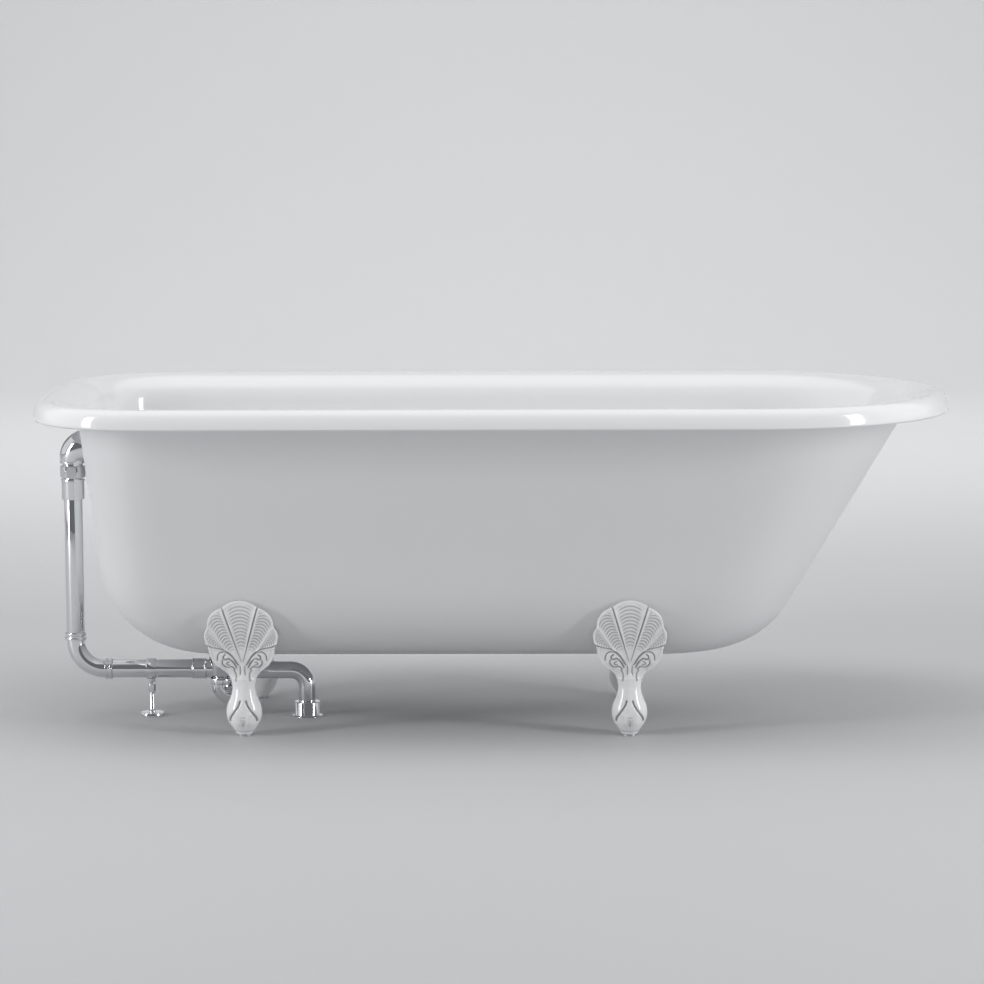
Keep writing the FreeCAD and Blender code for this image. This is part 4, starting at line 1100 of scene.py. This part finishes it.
# ---- overflow ----
@dataclass
class OverflowStack:
    """The overflow from its grille in the bath down to the bend by the floor."""

    bath: RollTopBath
    line: float = -795.0
    pipe_radius: float = 17.5
    pipe_wall: float = 1.5
    slip: float = 0.2
    butt: float = 0.5
    elbow_radius: float = 23.0
    elbow_turn: float = 30.0
    elbow_growth: float = 1.40
    elbow_stand: float = 5.0
    elbow_band: tuple[float, float, float] = (1.2, 2.0, 0.6)
    flange: Point = (31.5, 4.0)
    neck: Point = (19.0, 16.0)
    spigot: Point = (22.0, 20.0)
    spigot_clear: float = 2.0
    nut: Point = (42.0, 24.0)
    nut_overlap: float = 10.0
    coupling: Point = (22.5, 39.0)
    coupling_gap: float = 1.5
    union: Point = (21.0, 14.0)
    union_ring: float = 5.2
    union_waist: float = 19.2
    bend_turn: float = 55.0
    run_height: float = 91.0
    grille: Point = (32.0, 4.0)
    grille_neck: Point = (17.0, 18.5)
    grille_dish: float = 0.9
    grille_holes: tuple = (8, 11.0, 2.6)
    grille_drill: Point = (4.0, 12.0)
    screw: Point = (4.5, 2.5)

    @property
    def level(self) -> float:
        """Height of the overflow's axis."""
        return self.bath.height - self.bath.overflow_drop

    @property
    def neck_end(self) -> float:
        """Height of the elbow neck's lower end."""
        return self.level - self.elbow_turn - self.neck[1]

    def on_line(self, height: float) -> Vector:
        """A point on the upright pipe's axis."""
        return Vector((self.line, 0, height))

    def wall_x(self, skin: float) -> float:
        """Where the tap end's wall stands at the overflow."""
        return -self.bath.length / 2 + self.bath.inset(self.bath.overflow_drop, self.bath.tap, skin)

    def elbow(self) -> None:
        """The cast elbow: a fat turn with a rolled band, a flange against the bath and a neck for the nut."""
        bore = self.pipe_radius - self.pipe_wall
        bm = bmesh.new()
        foot = self.on_line(self.level - self.elbow_turn)
        face = self.wall_x(0.0) - self.elbow_stand
        sweep = Sweep(bm, foot, UP, self.elbow_radius, bore)
        sweep.turn(self.elbow_turn, ALONG, 90, 32, self.elbow_growth).run(face - self.line - self.elbow_turn)
        radius, length = self.neck
        lathe(bm, [(0, bore), (0, radius), (length + 1, radius), (length + 1, bore)],
              self.on_line(self.neck_end), UP)
        radius, thick = self.flange
        outer, inner = self.spigot
        reach = self.wall_x(self.bath.wall) - self.spigot_clear - (face - thick)
        lathe(bm, [(0, inner), (0, radius - 1), (1, radius), (thick, radius), (thick, outer), (reach, outer),
                   (reach, inner)], Vector((face - thick, 0, self.level)), ALONG)
        proud, half, edge = self.elbow_band
        lathe(bm, [(-half, bore + 1), *band(-half, half, self.elbow_radius + proud, edge), (half, bore + 1)],
              foot, UP)
        rounded_piece("overflow_elbow_cast", "overflow_elbow", bm, (0.5, 40))

    def elbow_nut(self) -> None:
        """The hexagonal union nut under the elbow."""
        base = self.on_line(self.neck_end + self.nut_overlap - self.nut[1])
        nut_piece("overflow_hex_nut", "elbow_nut", self.nut, self.pipe_radius + self.slip, base, (0.5, 32))

    def sleeve(self) -> None:
        """The slip coupling, a plain sleeve with a bead at its upper end."""
        radius, length = self.coupling
        bore = self.pipe_radius + self.slip
        base = self.neck_end + self.nut_overlap - self.nut[1] - self.coupling_gap - length
        plain = radius - 0.8
        turned_piece("overflow_slip_sleeve", "slip_coupling",
                     [(0, bore), (0, plain - 0.8), (0.8, plain), (length - 6.0, plain),
                      (length - 5.0, radius), (length - 1.0, radius), (length, radius - 1.0), (length, bore)],
                     self.on_line(base), rounding=(0.3, 30))

    def union_piece(self, name: str, node: str, at: Vector, axis: Vector) -> None:
        """A union of two milled rings with a waist between them.

        Args:
            name: The piece's name.
            node: The CAD node it replaces.
            at: Its first end.
            axis: The way it runs.
        """
        radius, length = self.union
        ring_w, waist = self.union_ring, self.union_waist
        half = [(0, self.pipe_radius + self.slip), (0, radius - 1.4), (1.2, radius), (ring_w - 1.0, radius),
                (ring_w, waist + 0.4), (ring_w + 0.6, waist)]
        turned_piece(name, node, mirrored(half, length), at, axis, (0.3, 25))

    def pipes(self) -> None:
        """The upright pipe and the large bend at its foot."""
        inner = self.pipe_radius - self.pipe_wall
        middle = self.butt + self.union[1] / 2
        low = self.run_height + self.bend_turn + middle + self.butt / 2
        upright = Sweep(bmesh.new(), self.on_line(low), UP, self.pipe_radius, inner)
        upright.run(self.neck_end - self.butt - low)
        rounded_piece("overflow_upright_pipe", "overflow_pipe", upright.bm)
        tail = middle - self.butt / 2
        start = self.on_line(self.run_height + self.bend_turn + tail)
        bend = Sweep(bmesh.new(), start, -UP, self.pipe_radius, inner)
        bend.run(tail).turn(self.bend_turn, ALONG, 90, 32).run(tail)
        rounded_piece("overflow_swept_bend", "overflow_bend", bend.bm)

    def grille_and_screw(self) -> None:
        """The pierced grille inside the bath, dished towards its rim, and its slotted screw."""
        radius, thick = self.grille
        lean = Matrix.Rotation(math.radians(-self.bath.tap[0]), 4, "Y")
        axis = (lean @ ALONG).normalized()
        at = Vector((self.wall_x(self.bath.wall) + 0.5, 0, self.level))
        dish = thick - self.grille_dish
        inner, outer = self.grille_neck
        bm = bmesh.new()
        lathe(bm, [(0, inner), (0, radius), (thick * 0.55, radius), (thick * 0.9, radius - 1.6),
                   (thick, radius - 3.2), (thick, radius - 8), (dish, radius - 12.5), (dish, 0.0)], at, axis)
        close_holes(bm)
        bmesh.ops.recalc_face_normals(bm, faces=bm.faces)
        count, circle, hole = self.grille_holes
        lead, depth = self.grille_drill
        drills = bmesh.new()
        frame = facing(at, axis)
        for i in range(count):
            turn = 2 * math.pi * i / count
            spot = frame @ Vector((circle * math.cos(turn), circle * math.sin(turn), -lead))
            Sweep(drills, spot, axis, hole, 0).run(depth)
        bm = combined(bm, drills)
        lathe(bm, [(-9, inner), (-9, outer), (0.4, outer), (0.4, inner)], at, axis)
        add_piece("overflow_pierced_grille", bm, CHROME, Body.BATH, ["overflow_grille"])
        head, shank = self.screw
        bm = bmesh.new()
        top = at + axis * dish
        lathe(bm, [(-14, 0), (-14, shank), (0, shank), (0, head), (1.4, head), (2.6, head * 0.72),
                   (3.1, 0.0)], top, axis, 48)
        bmesh.ops.recalc_face_normals(bm, faces=bm.faces)
        slot = bmesh.new()
        block(slot, facing(top + axis * 3.2, axis), (12, 1.0, 2.2))
        add_piece("overflow_slotted_screw", combined(bm, slot), CHROME, Body.BATH, ["overflow_screw"])

    def build(self) -> None:
        """Builds the stack from the bath down."""
        self.grille_and_screw()
        self.elbow()
        self.elbow_nut()
        self.sleeve()
        self.pipes()
        foot = self.on_line(self.run_height + self.bend_turn + self.butt)
        self.union_piece("upright_union", "lower_union", foot, UP)
        start = Vector((self.line + self.bend_turn + self.butt, 0, self.run_height))
        self.union_piece("floor_union", "bend_union", start, ALONG)


# ---- the run along the floor and its stand ----
@dataclass
class FloorRun:
    """The horizontal pipe, its clip and the adjustable stand beneath."""

    stack: OverflowStack
    waste_x: float = -520.0
    tee_nut: tuple = (19.3, 20.4, 3.0, 26.5, 27.3)
    clip_x: float = -652.0
    clip_width: float = 17.0
    clip_thick: float = 2.4
    clip_slit: float = 3.0
    clip_ear: float = 9.0
    close_fit: float = 0.05
    clip_screw: Point = (3.5, 2.0)
    lug: Point = (12.0, 6.0)
    stud: Point = (3.0, 4.0)
    barrel: tuple = (13.0, 46.0, 16.0)
    rod: Point = (4.5, 50.0)
    disc: Point = (22.0, 7.0)
    boss: Point = (6.0, 6.0)
    rod_thread: float = 8.0

    @property
    def joint_x(self) -> float:
        """Where the pipe meets the tee's branch."""
        return self.waste_x - self.tee_nut[4] - self.tee_nut[3] / 2

    def pipe(self) -> None:
        """The horizontal pipe."""
        stack = self.stack
        start = stack.line + stack.bend_turn + stack.butt + stack.union[1] / 2 + stack.butt / 2
        pipe = Sweep(bmesh.new(), Vector((start, 0, stack.run_height)), ALONG, stack.pipe_radius,
                     stack.pipe_radius - stack.pipe_wall)
        pipe.run(self.joint_x - stack.butt / 2 - start)
        rounded_piece("floor_run_pipe", "run_pipe", pipe.bm)

    def nut(self) -> None:
        """The long nut at the tee, with a bead at each end."""
        body, bead, width, length, stand = self.tee_nut
        bore = self.stack.pipe_radius + self.stack.slip
        half = [(0, bore), *band(0, width, bead, 0.8), (width + 0.3, body)]
        turned_piece("tee_branch_nut", "tee_nut", mirrored(half, length),
                     Vector((self.waste_x - stand - length, 0, self.stack.run_height)), ALONG, (0.3, 25))

    def clip(self) -> None:
        """The split clip round the pipe with its ears, its screw and its lug."""
        level = self.stack.run_height
        bore = self.stack.pipe_radius + self.close_fit
        outer = bore + self.clip_thick
        half = self.clip_width / 2
        gap = math.asin(self.clip_slit / 2 / outer)
        centre = Vector((self.clip_x, 0, level))
        bm = bmesh.new()
        corners = [bm.verts.new(centre + Vector((x, r * math.cos(gap), r * math.sin(gap))))
                   for x, r in ((-half, bore), (half, bore), (half, outer), (-half, outer))]
        start = bm.faces.new(corners)
        spun(bm, [start, *start.edges, *start.verts], centre, ALONG, 360 - 2 * math.degrees(gap), 60)
        ear = self.clip_ear + self.clip_thick
        for side in (-1, 1):
            lift = side * (self.clip_slit + self.clip_thick) / 2
            block(bm, Matrix.Translation((self.clip_x, outer - self.clip_thick + ear / 2, level + lift)),
                  (self.clip_width, ear, self.clip_thick))
        width, drop = self.lug
        inner, low = self.stud[0] + self.close_fit, drop + 1.2
        lathe(bm, [(0, inner), (0, width / 2 - 0.8), (0.8, width / 2), (drop, width / 2),
                   (low, width / 2 + 1.5), (low, inner)], centre - UP * (outer + drop), UP, 48)
        rounded_piece("run_split_clip", "pipe_clip", bm, (0.4, 40))
        head, shank = self.clip_screw
        line = Vector((self.clip_x, outer + self.clip_ear / 2, level + self.clip_slit / 2 + self.clip_thick))
        reach = self.clip_slit + 3 * self.clip_thick
        turned_piece("clip_cheese_screw", "clip_screw",
                     [(-reach, 0), (-reach, shank), (0, shank), (0, head), (head * 0.6, head),
                      (head, head * 0.6), (head, 0)], line, steps=32)

    @staticmethod
    def threaded(low: float, high: float, radius: float, pitch: float = 1.25,
                 depth: float = 0.35) -> list[Point]:
        """A bar's profile with the ridges of a thread between two heights."""
        points = []
        for i in range(int((high - low) / pitch)):
            points += [(low + i * pitch, radius - depth), (low + (i + 0.5) * pitch, radius)]
        return points + [(high, radius - depth)]

    def stand(self) -> None:
        """The stud, the turning barrel nut and the round base on its rod."""
        at = Vector((self.clip_x, 0, 0))
        lug_low = self.stack.run_height - self.stack.pipe_radius - self.clip_thick - self.lug[1]
        flats, low, length = self.barrel
        radius, grip = self.stud
        bm = bmesh.new()
        bottom, top = low + length - grip, lug_low + self.lug[1] - 0.5
        lathe(bm, [(bottom, 0), *self.threaded(bottom, top, radius), (top, 0)], at, UP, 32)
        add_piece("stand_threaded_stud", bm, CHROME, Body.BATH, ["stand_stud"])
        nut_piece("stand_barrel_nut", "stand_barrel", (flats, length), radius + self.close_fit, at + UP * low,
                  (0.3, 32), 1.0, 72, body=Body.BARREL)
        disc, thick = self.disc
        boss, rise = self.boss
        rod, tip = self.rod
        top, thread = thick + rise, tip - self.rod_thread
        turned_piece("stand_round_base", "stand_base",
                     [(0, 0), (0, disc - 0.6), (0.6, disc), (thick - 1.0, disc), (thick - 0.3, disc - 0.3),
                      (thick, disc - 1), (thick, boss + 0.8), (thick + 0.8, boss), (top - 1, boss),
                      (top, boss - 1), (top, rod), (thread, rod), *self.threaded(thread, tip, rod),
                      (tip, 0)], at, rounding=(0.3, 50), body=Body.STAND)

    def build(self) -> None:
        """Builds the run and its stand."""
        self.pipe()
        self.nut()
        self.clip()
        self.stand()


# ---- waste, tee and trap ----
@dataclass
class WasteAndTrap:
    """The waste in the bath's floor, the tee under it, the trap and the outlet to the floor."""

    bath: RollTopBath
    run: FloorRun
    slip: float = 0.2
    close_fit: float = 0.05
    butt: float = 0.5
    flange: Point = (35.0, 2.5)
    tail: tuple = (19.0, 16.5, 38.0)
    guide: tuple = (7.0, 12.0, 20.0, 3.0)
    plug: tuple = (27.0, 3.0, 3.0)
    skirt: Point = (14.0, 4.0)
    stem: Point = (4.0, 26.0)
    lower_seal: float = 4.0
    back_nut: Point = (56.0, 9.0)
    tee: tuple = (22.5, 1.0, 80.0, 4.0, 17.0, 15.5)
    tee_branch: tuple[float, float, float] = (14.0, 6.0, 0.8)
    trap: tuple = (19.0, 1.5, 21.0, 62.0, 5.5)
    trap_nut: tuple = (20.5, 11.0, 7.0)
    outlet: tuple = (16.0, 1.5, 20.0, -357.0, 30.0, 0.5)
    collar: tuple = (24.0, 28.0, 29.0, 2.0)

    @property
    def axis(self) -> Vector:
        """The foot of the waste's axis."""
        return Vector((self.bath.waste_x, 0, 0))

    @property
    def basin_floor(self) -> float:
        """Height of the basin's floor."""
        return self.bath.height - self.bath.depth + self.bath.wall

    @property
    def trap_top(self) -> float:
        """Height of the trap's two ends."""
        return self.trap[3] + self.trap[4]

    def waste(self) -> None:
        """The waste flange with its spider, and the back nut."""
        radius, thick = self.flange
        outer, bore, length = self.tail
        deck = self.basin_floor
        top = deck + thick
        bm = bmesh.new()
        lathe(bm, [(deck - length, bore), (deck - length, outer), (deck, outer), (deck, radius),
                   (deck + 0.8, radius), (top - 0.4, radius - 2.2), (top, radius - 4), (top, bore + 5),
                   (top - 1.0, bore + 1.5), (top - 2.6, bore)], self.axis, UP)
        hub, tall, drop, rib = self.guide
        low = top - drop
        inner = self.stem[0] + self.close_fit
        lathe(bm, [(low, inner), *band(low, low + tall, hub, 0.8), (low + tall, inner)], self.axis, UP, 48)
        sunk = 0.8
        reach = bore - hub + 2 * sunk
        for i in range(3):
            turn = Matrix.Rotation(math.radians(120 * i), 4, "Z")
            centre = Matrix.Translation((hub - sunk + reach / 2, 0, low + tall / 4))
            block(bm, Matrix.Translation(self.axis) @ turn @ centre, (reach, rib, tall / 2))
        rounded_piece("waste_flange_and_tail", "waste_flange", bm, (0.25, 40))
        base = self.axis + UP * (self.bath.height - self.bath.depth - self.lower_seal - self.back_nut[1])
        nut_piece("waste_brass_nut", "waste_back_nut", self.back_nut, outer + self.close_fit, base, (0.4, 32),
                  1.2, finish=TURNED_BRASS)

    def pop_up_plug(self) -> None:
        """The plug: a shallow domed cap on its skirt and stem."""
        seat = self.basin_floor + self.flange[1] + 0.3
        _, tall, drop, _ = self.guide
        stem, length = self.stem
        skirt, deep = self.skirt
        low = self.basin_floor + self.flange[1] - drop + tall - length + deep
        radius, edge, crown = self.plug
        dome = (radius ** 2 + crown ** 2) / (2 * crown)
        rim = seat + edge
        shares = (0.9, 0.75, 0.6, 0.45, 0.3, 0.15)
        cap = [(rim + math.sqrt(dome ** 2 - r ** 2) - dome + crown, r)
               for r in (radius - 0.6, *(radius * share for share in shares))]
        turned_piece("waste_domed_plug", "waste_plug",
                     [(low, 0), (low, stem - 0.8), (low + 0.8, stem), (seat - deep, stem),
                      (seat - deep, skirt), (seat, skirt), (seat, radius - 0.5), (seat + 0.5, radius),
                      (rim - 0.4, radius), *cap, (rim + crown, 0)],
                     self.axis, rounding=(0.25, 40), steps=96, body=Body.PLUG)

    def tee_body(self) -> None:
        """The tee: a socket, a branch with a soft shoulder and a cone down to its neck."""
        radius, gap, shoulder, cone, neck, bore = self.tee
        top = self.bath.height - self.bath.depth - self.lower_seal - self.back_nut[1] - gap
        low = self.trap_top + self.butt
        socket = self.basin_floor - self.tail[2] - gap
        bm = bmesh.new()
        bead, mouth = radius + 1.2, self.tail[0] + self.slip
        lathe(bm, [(low, bore), (low, neck), (shoulder - cone, neck), (shoulder - cone * 0.4, neck + 3.2),
                   (shoulder, radius - 0.6), (shoulder + 1.2, radius), (top - 6, radius), (top - 5, bead),
                   (top - 1, bead), (top, radius), (top, mouth), (socket, mouth), (socket, bore)],
              self.axis, UP)
        stack = self.run.stack
        branch = stack.pipe_radius
        short, collar, proud = self.tee_branch
        end = self.run.joint_x + self.butt / 2
        length = self.bath.waste_x - short - end
        lathe(bm, [(0, bore), (0, branch), (length - collar - 2, branch), (length - collar, branch + proud),
                   (length, branch + proud), (length, bore)], Vector((end, 0, stack.run_height)), ALONG)
        rounded_piece("waste_cast_tee", "waste_tee", bm, (0.4, 35))

    def trap_run(self) -> None:
        """The trap's U, its two nuts, and the outlet pipe down to the floor."""
        radius, wall, turn, level, leg = self.trap
        inlet = self.axis + UP * level
        bend = Sweep(bmesh.new(), inlet + UP * leg, -UP, radius, radius - wall)
        bend.run(leg).turn(turn, ALONG, 180, 48).run(leg)
        rounded_piece("trap_close_bend", "trap_bend", bend.bm)
        ring_r, inlet_h, outlet_h = self.trap_nut
        bore, lip = radius + self.slip, leg + self.butt / 2
        out_r, out_wall, rise, out_x, out_turn, out_end = self.outlet
        outlet = inlet + ALONG * 2 * turn
        for name, node, at, tall, small in (
                ("trap_inlet_ring", "trap_inlet_nut", inlet, inlet_h, self.tee[4] + self.slip),
                ("trap_outlet_ring", "trap_outlet_nut", outlet, outlet_h, out_r + 2 * self.slip)):
            turned_piece(name, node, [(0, bore), *band(0, tall, ring_r, 0.9), (tall, small), (lip, small),
                                      (lip, bore)], at, rounding=(0.25, 25))
        pipe = Sweep(bmesh.new(), outlet + UP * (leg + self.butt), UP, out_r, out_r - out_wall)
        pipe.turn(rise, ALONG, 90, 28)
        pipe.run(out_x - out_turn - pipe.at.x).turn(out_turn, -UP, 90, 28)
        pipe.run(pipe.at.z - out_end)
        rounded_piece("outlet_bent_pipe", "outlet_pipe", pipe.bm)
        body, tall, foot, thick = self.collar
        bore = out_r + self.close_fit
        turned_piece("outlet_floor_collar", "floor_collar",
                     [(0, bore), (0, foot), (thick * 0.5, foot), (thick, foot - 1.2),
                      (thick + 0.3, body + 0.6), (thick + 1.2, body), (tall - 1.6, body),
                      (tall - 0.5, body - 0.5), (tall, body - 1.6), (tall, bore)],
                     Vector((out_x, 0, 0)), steps=96, body=Body.COLLAR)

    def build(self) -> None:
        """Builds the waste, tee, trap and outlet."""
        self.waste()
        self.pop_up_plug()
        self.tee_body()
        self.trap_run()


# ---- CAD nodes that keep their own shape ----
@dataclass
class SmallHardware:
    """The seals, bolts, washers and levelling pads, which only need their finish."""

    nodes: dict[str, bpy.types.Object]
    rubber: tuple[str, ...] = ("overflow_gasket", "pipe_seals", "waste_upper_seal", "waste_lower_seal",
                               "plug_seal")
    steel: tuple[str, ...] = ("foot_bolts", "foot_washers", "level_pad_tap_near", "level_pad_tap_far",
                              "level_pad_head_near", "level_pad_head_far")

    def build(self) -> None:
        """Dresses each node."""
        for names, finish in ((self.rubber, BLACK_RUBBER), (self.steel, ZINC_STEEL)):
            for name in names:
                mesh = self.nodes[name].data
                mesh.materials.clear()
                mesh.materials.append(finish.material())
                LOG.info("node %s: %s", name, finish.name)


# ---- studio ----
@dataclass
class Studio:
    """The pale floor, the soft lights and the camera."""

    floor_colour: Colour = (0.58, 0.585, 0.59)
    world_strength: float = 0.74
    camera_at: tuple[float, float, float] = (0.1388, -6.9985, 1.3424)
    heading: tuple[float, float] = (-0.0205, 0.9998)
    pitch: float = 0.130
    roll: float = -0.0044
    focal: float = 137.2
    half_width: float = 14.0
    near_edge: float = -9.0
    bend_start: float = 6.0
    bend_radius: float = 3.0
    wall_rise: float = 6.0
    sheen: tuple = ((0.20, (0.97, 0.98, 1.0, 1.0)), (0.62, (0.20, 0.205, 0.21, 1.0)))
    lamps: tuple = (("left", (-4.2, -2.2, 1.3), (0.0, 0.0, 0.35), (0.6, 2.6), 80, True),
                    ("right", (4.2, -2.2, 1.3), (0.0, 0.0, 0.35), (0.6, 2.6), 84, True),
                    ("top", (-0.3, -0.6, 4.0), (0.0, 0.0, 0.35), (4.0, 1.6), 46, False),
                    ("backdrop", (0.0, 3.4, 4.2), (0.0, 8.0, 0.8), (9.0, 1.2), 290, False))

    def floor(self) -> None:
        """A floor that curves up into a backdrop far behind the bath."""
        bm = bmesh.new()
        corners = [bm.verts.new((x, self.near_edge, 0)) for x in (-self.half_width, self.half_width)]
        out = bmesh.ops.extrude_edge_only(bm, edges=[bm.edges.new(corners)])["geom"]
        verts = only(out, bmesh.types.BMVert)
        bmesh.ops.translate(bm, verts=verts, vec=ACROSS * (self.bend_start - self.near_edge))
        tip = [e for e in only(out, bmesh.types.BMEdge) if all(v in verts for v in e.verts)]
        centre = Vector((0, self.bend_start, self.bend_radius))
        tip = only(spun(bm, tip + verts, centre, ALONG, 90, 24), bmesh.types.BMEdge)
        out = bmesh.ops.extrude_edge_only(bm, edges=tip)["geom"]
        bmesh.ops.translate(bm, verts=only(out, bmesh.types.BMVert), vec=UP * self.wall_rise)
        mesh = as_mesh("studio_floor", bm)
        mesh.shade_smooth()
        sheet = placed("studio_floor", mesh)
        made = bpy.data.materials.new("studio_paper")
        made.use_nodes = True
        preset(made.node_tree.nodes["Principled BSDF"],
               {"Base Color": (*self.floor_colour, 1.0), "Roughness": 0.6, "Specular IOR Level": 0.25})
        mesh.materials.append(made)

    def lamp(self, name: str, at: Sequence[float], target: Sequence[float], size: Point, power: float,
             shows: bool) -> None:
        """A soft lamp.

        Args:
            name: Its name.
            at: Where it hangs.
            target: What it faces.
            size: Width and height of its sheet.
            power: Its power in watts.
            shows: Whether its sheet shows as a highlight in gloss and metal.
        """
        light = bpy.data.lights.new(name, "AREA")
        light.shape = "RECTANGLE"
        light.size, light.size_y = size
        light.energy = power
        lamp = placed(name, light)
        lamp.location = at
        lamp.rotation_euler = (Vector(target) - Vector(at)).to_track_quat("-Z", "Y").to_euler()
        lamp.visible_glossy = shows

    def world(self) -> None:
        """A pale surround, darker behind the camera so that metal and gloss show their form."""
        surround = bpy.data.worlds.new("studio")
        surround.use_nodes = True
        nodes = surround.node_tree.nodes
        back = nodes["Background"]
        place, split, frontward, shade = (nodes.new(kind) for kind in (
            "ShaderNodeTexCoord", "ShaderNodeSeparateXYZ", "ShaderNodeMath", "ShaderNodeValToRGB"))
        frontward.operation = "MULTIPLY"
        frontward.inputs[1].default_value = -1.0
        for stop, (position, colour) in zip(shade.color_ramp.elements, self.sheen):
            stop.position = position
            stop.color = colour
        wire(surround.node_tree.links, (place, "Generated", split, "Vector"), (split, "Y", frontward, 0),
             (frontward, 0, shade, "Fac"), (shade, "Color", back, "Color"))
        preset(back, {"Strength": self.world_strength})
        bpy.context.scene.world = surround

    def camera(self) -> None:
        """The camera at the photograph's place."""
        lens = bpy.data.cameras.new("camera")
        lens.lens = self.focal
        lens.sensor_width = 36.0
        lens.clip_end = 100.0
        eye = placed("camera", lens)
        eye.location = self.camera_at
        level = Vector((*self.heading, 0)).normalized()
        sight = level * math.cos(self.pitch) - UP * math.sin(self.pitch)
        turn = sight.to_track_quat("-Z", "Y").to_matrix() @ Matrix.Rotation(self.roll, 3, "Z")
        eye.rotation_euler = turn.to_euler()
        bpy.context.scene.camera = eye

    def build(self) -> None:
        """Sets the studio up."""
        self.floor()
        for lamp in self.lamps:
            self.lamp(*lamp)
        self.world()
        self.camera()
        bpy.context.scene.view_settings.view_transform = "Standard"


def main() -> None:
    """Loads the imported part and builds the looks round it."""
    logging.basicConfig(level=logging.INFO, format="%(name)s: %(message)s")
    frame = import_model()
    bath = RollTopBath()
    bath.build()
    ClawFoot(bath).build()
    stack = OverflowStack(bath)
    stack.build()
    run = FloorRun(stack)
    run.build()
    WasteAndTrap(bath, run).build()
    SmallHardware(frame["nodes"]).build()
    Studio().build()


if __name__ == "__main__":
    main()
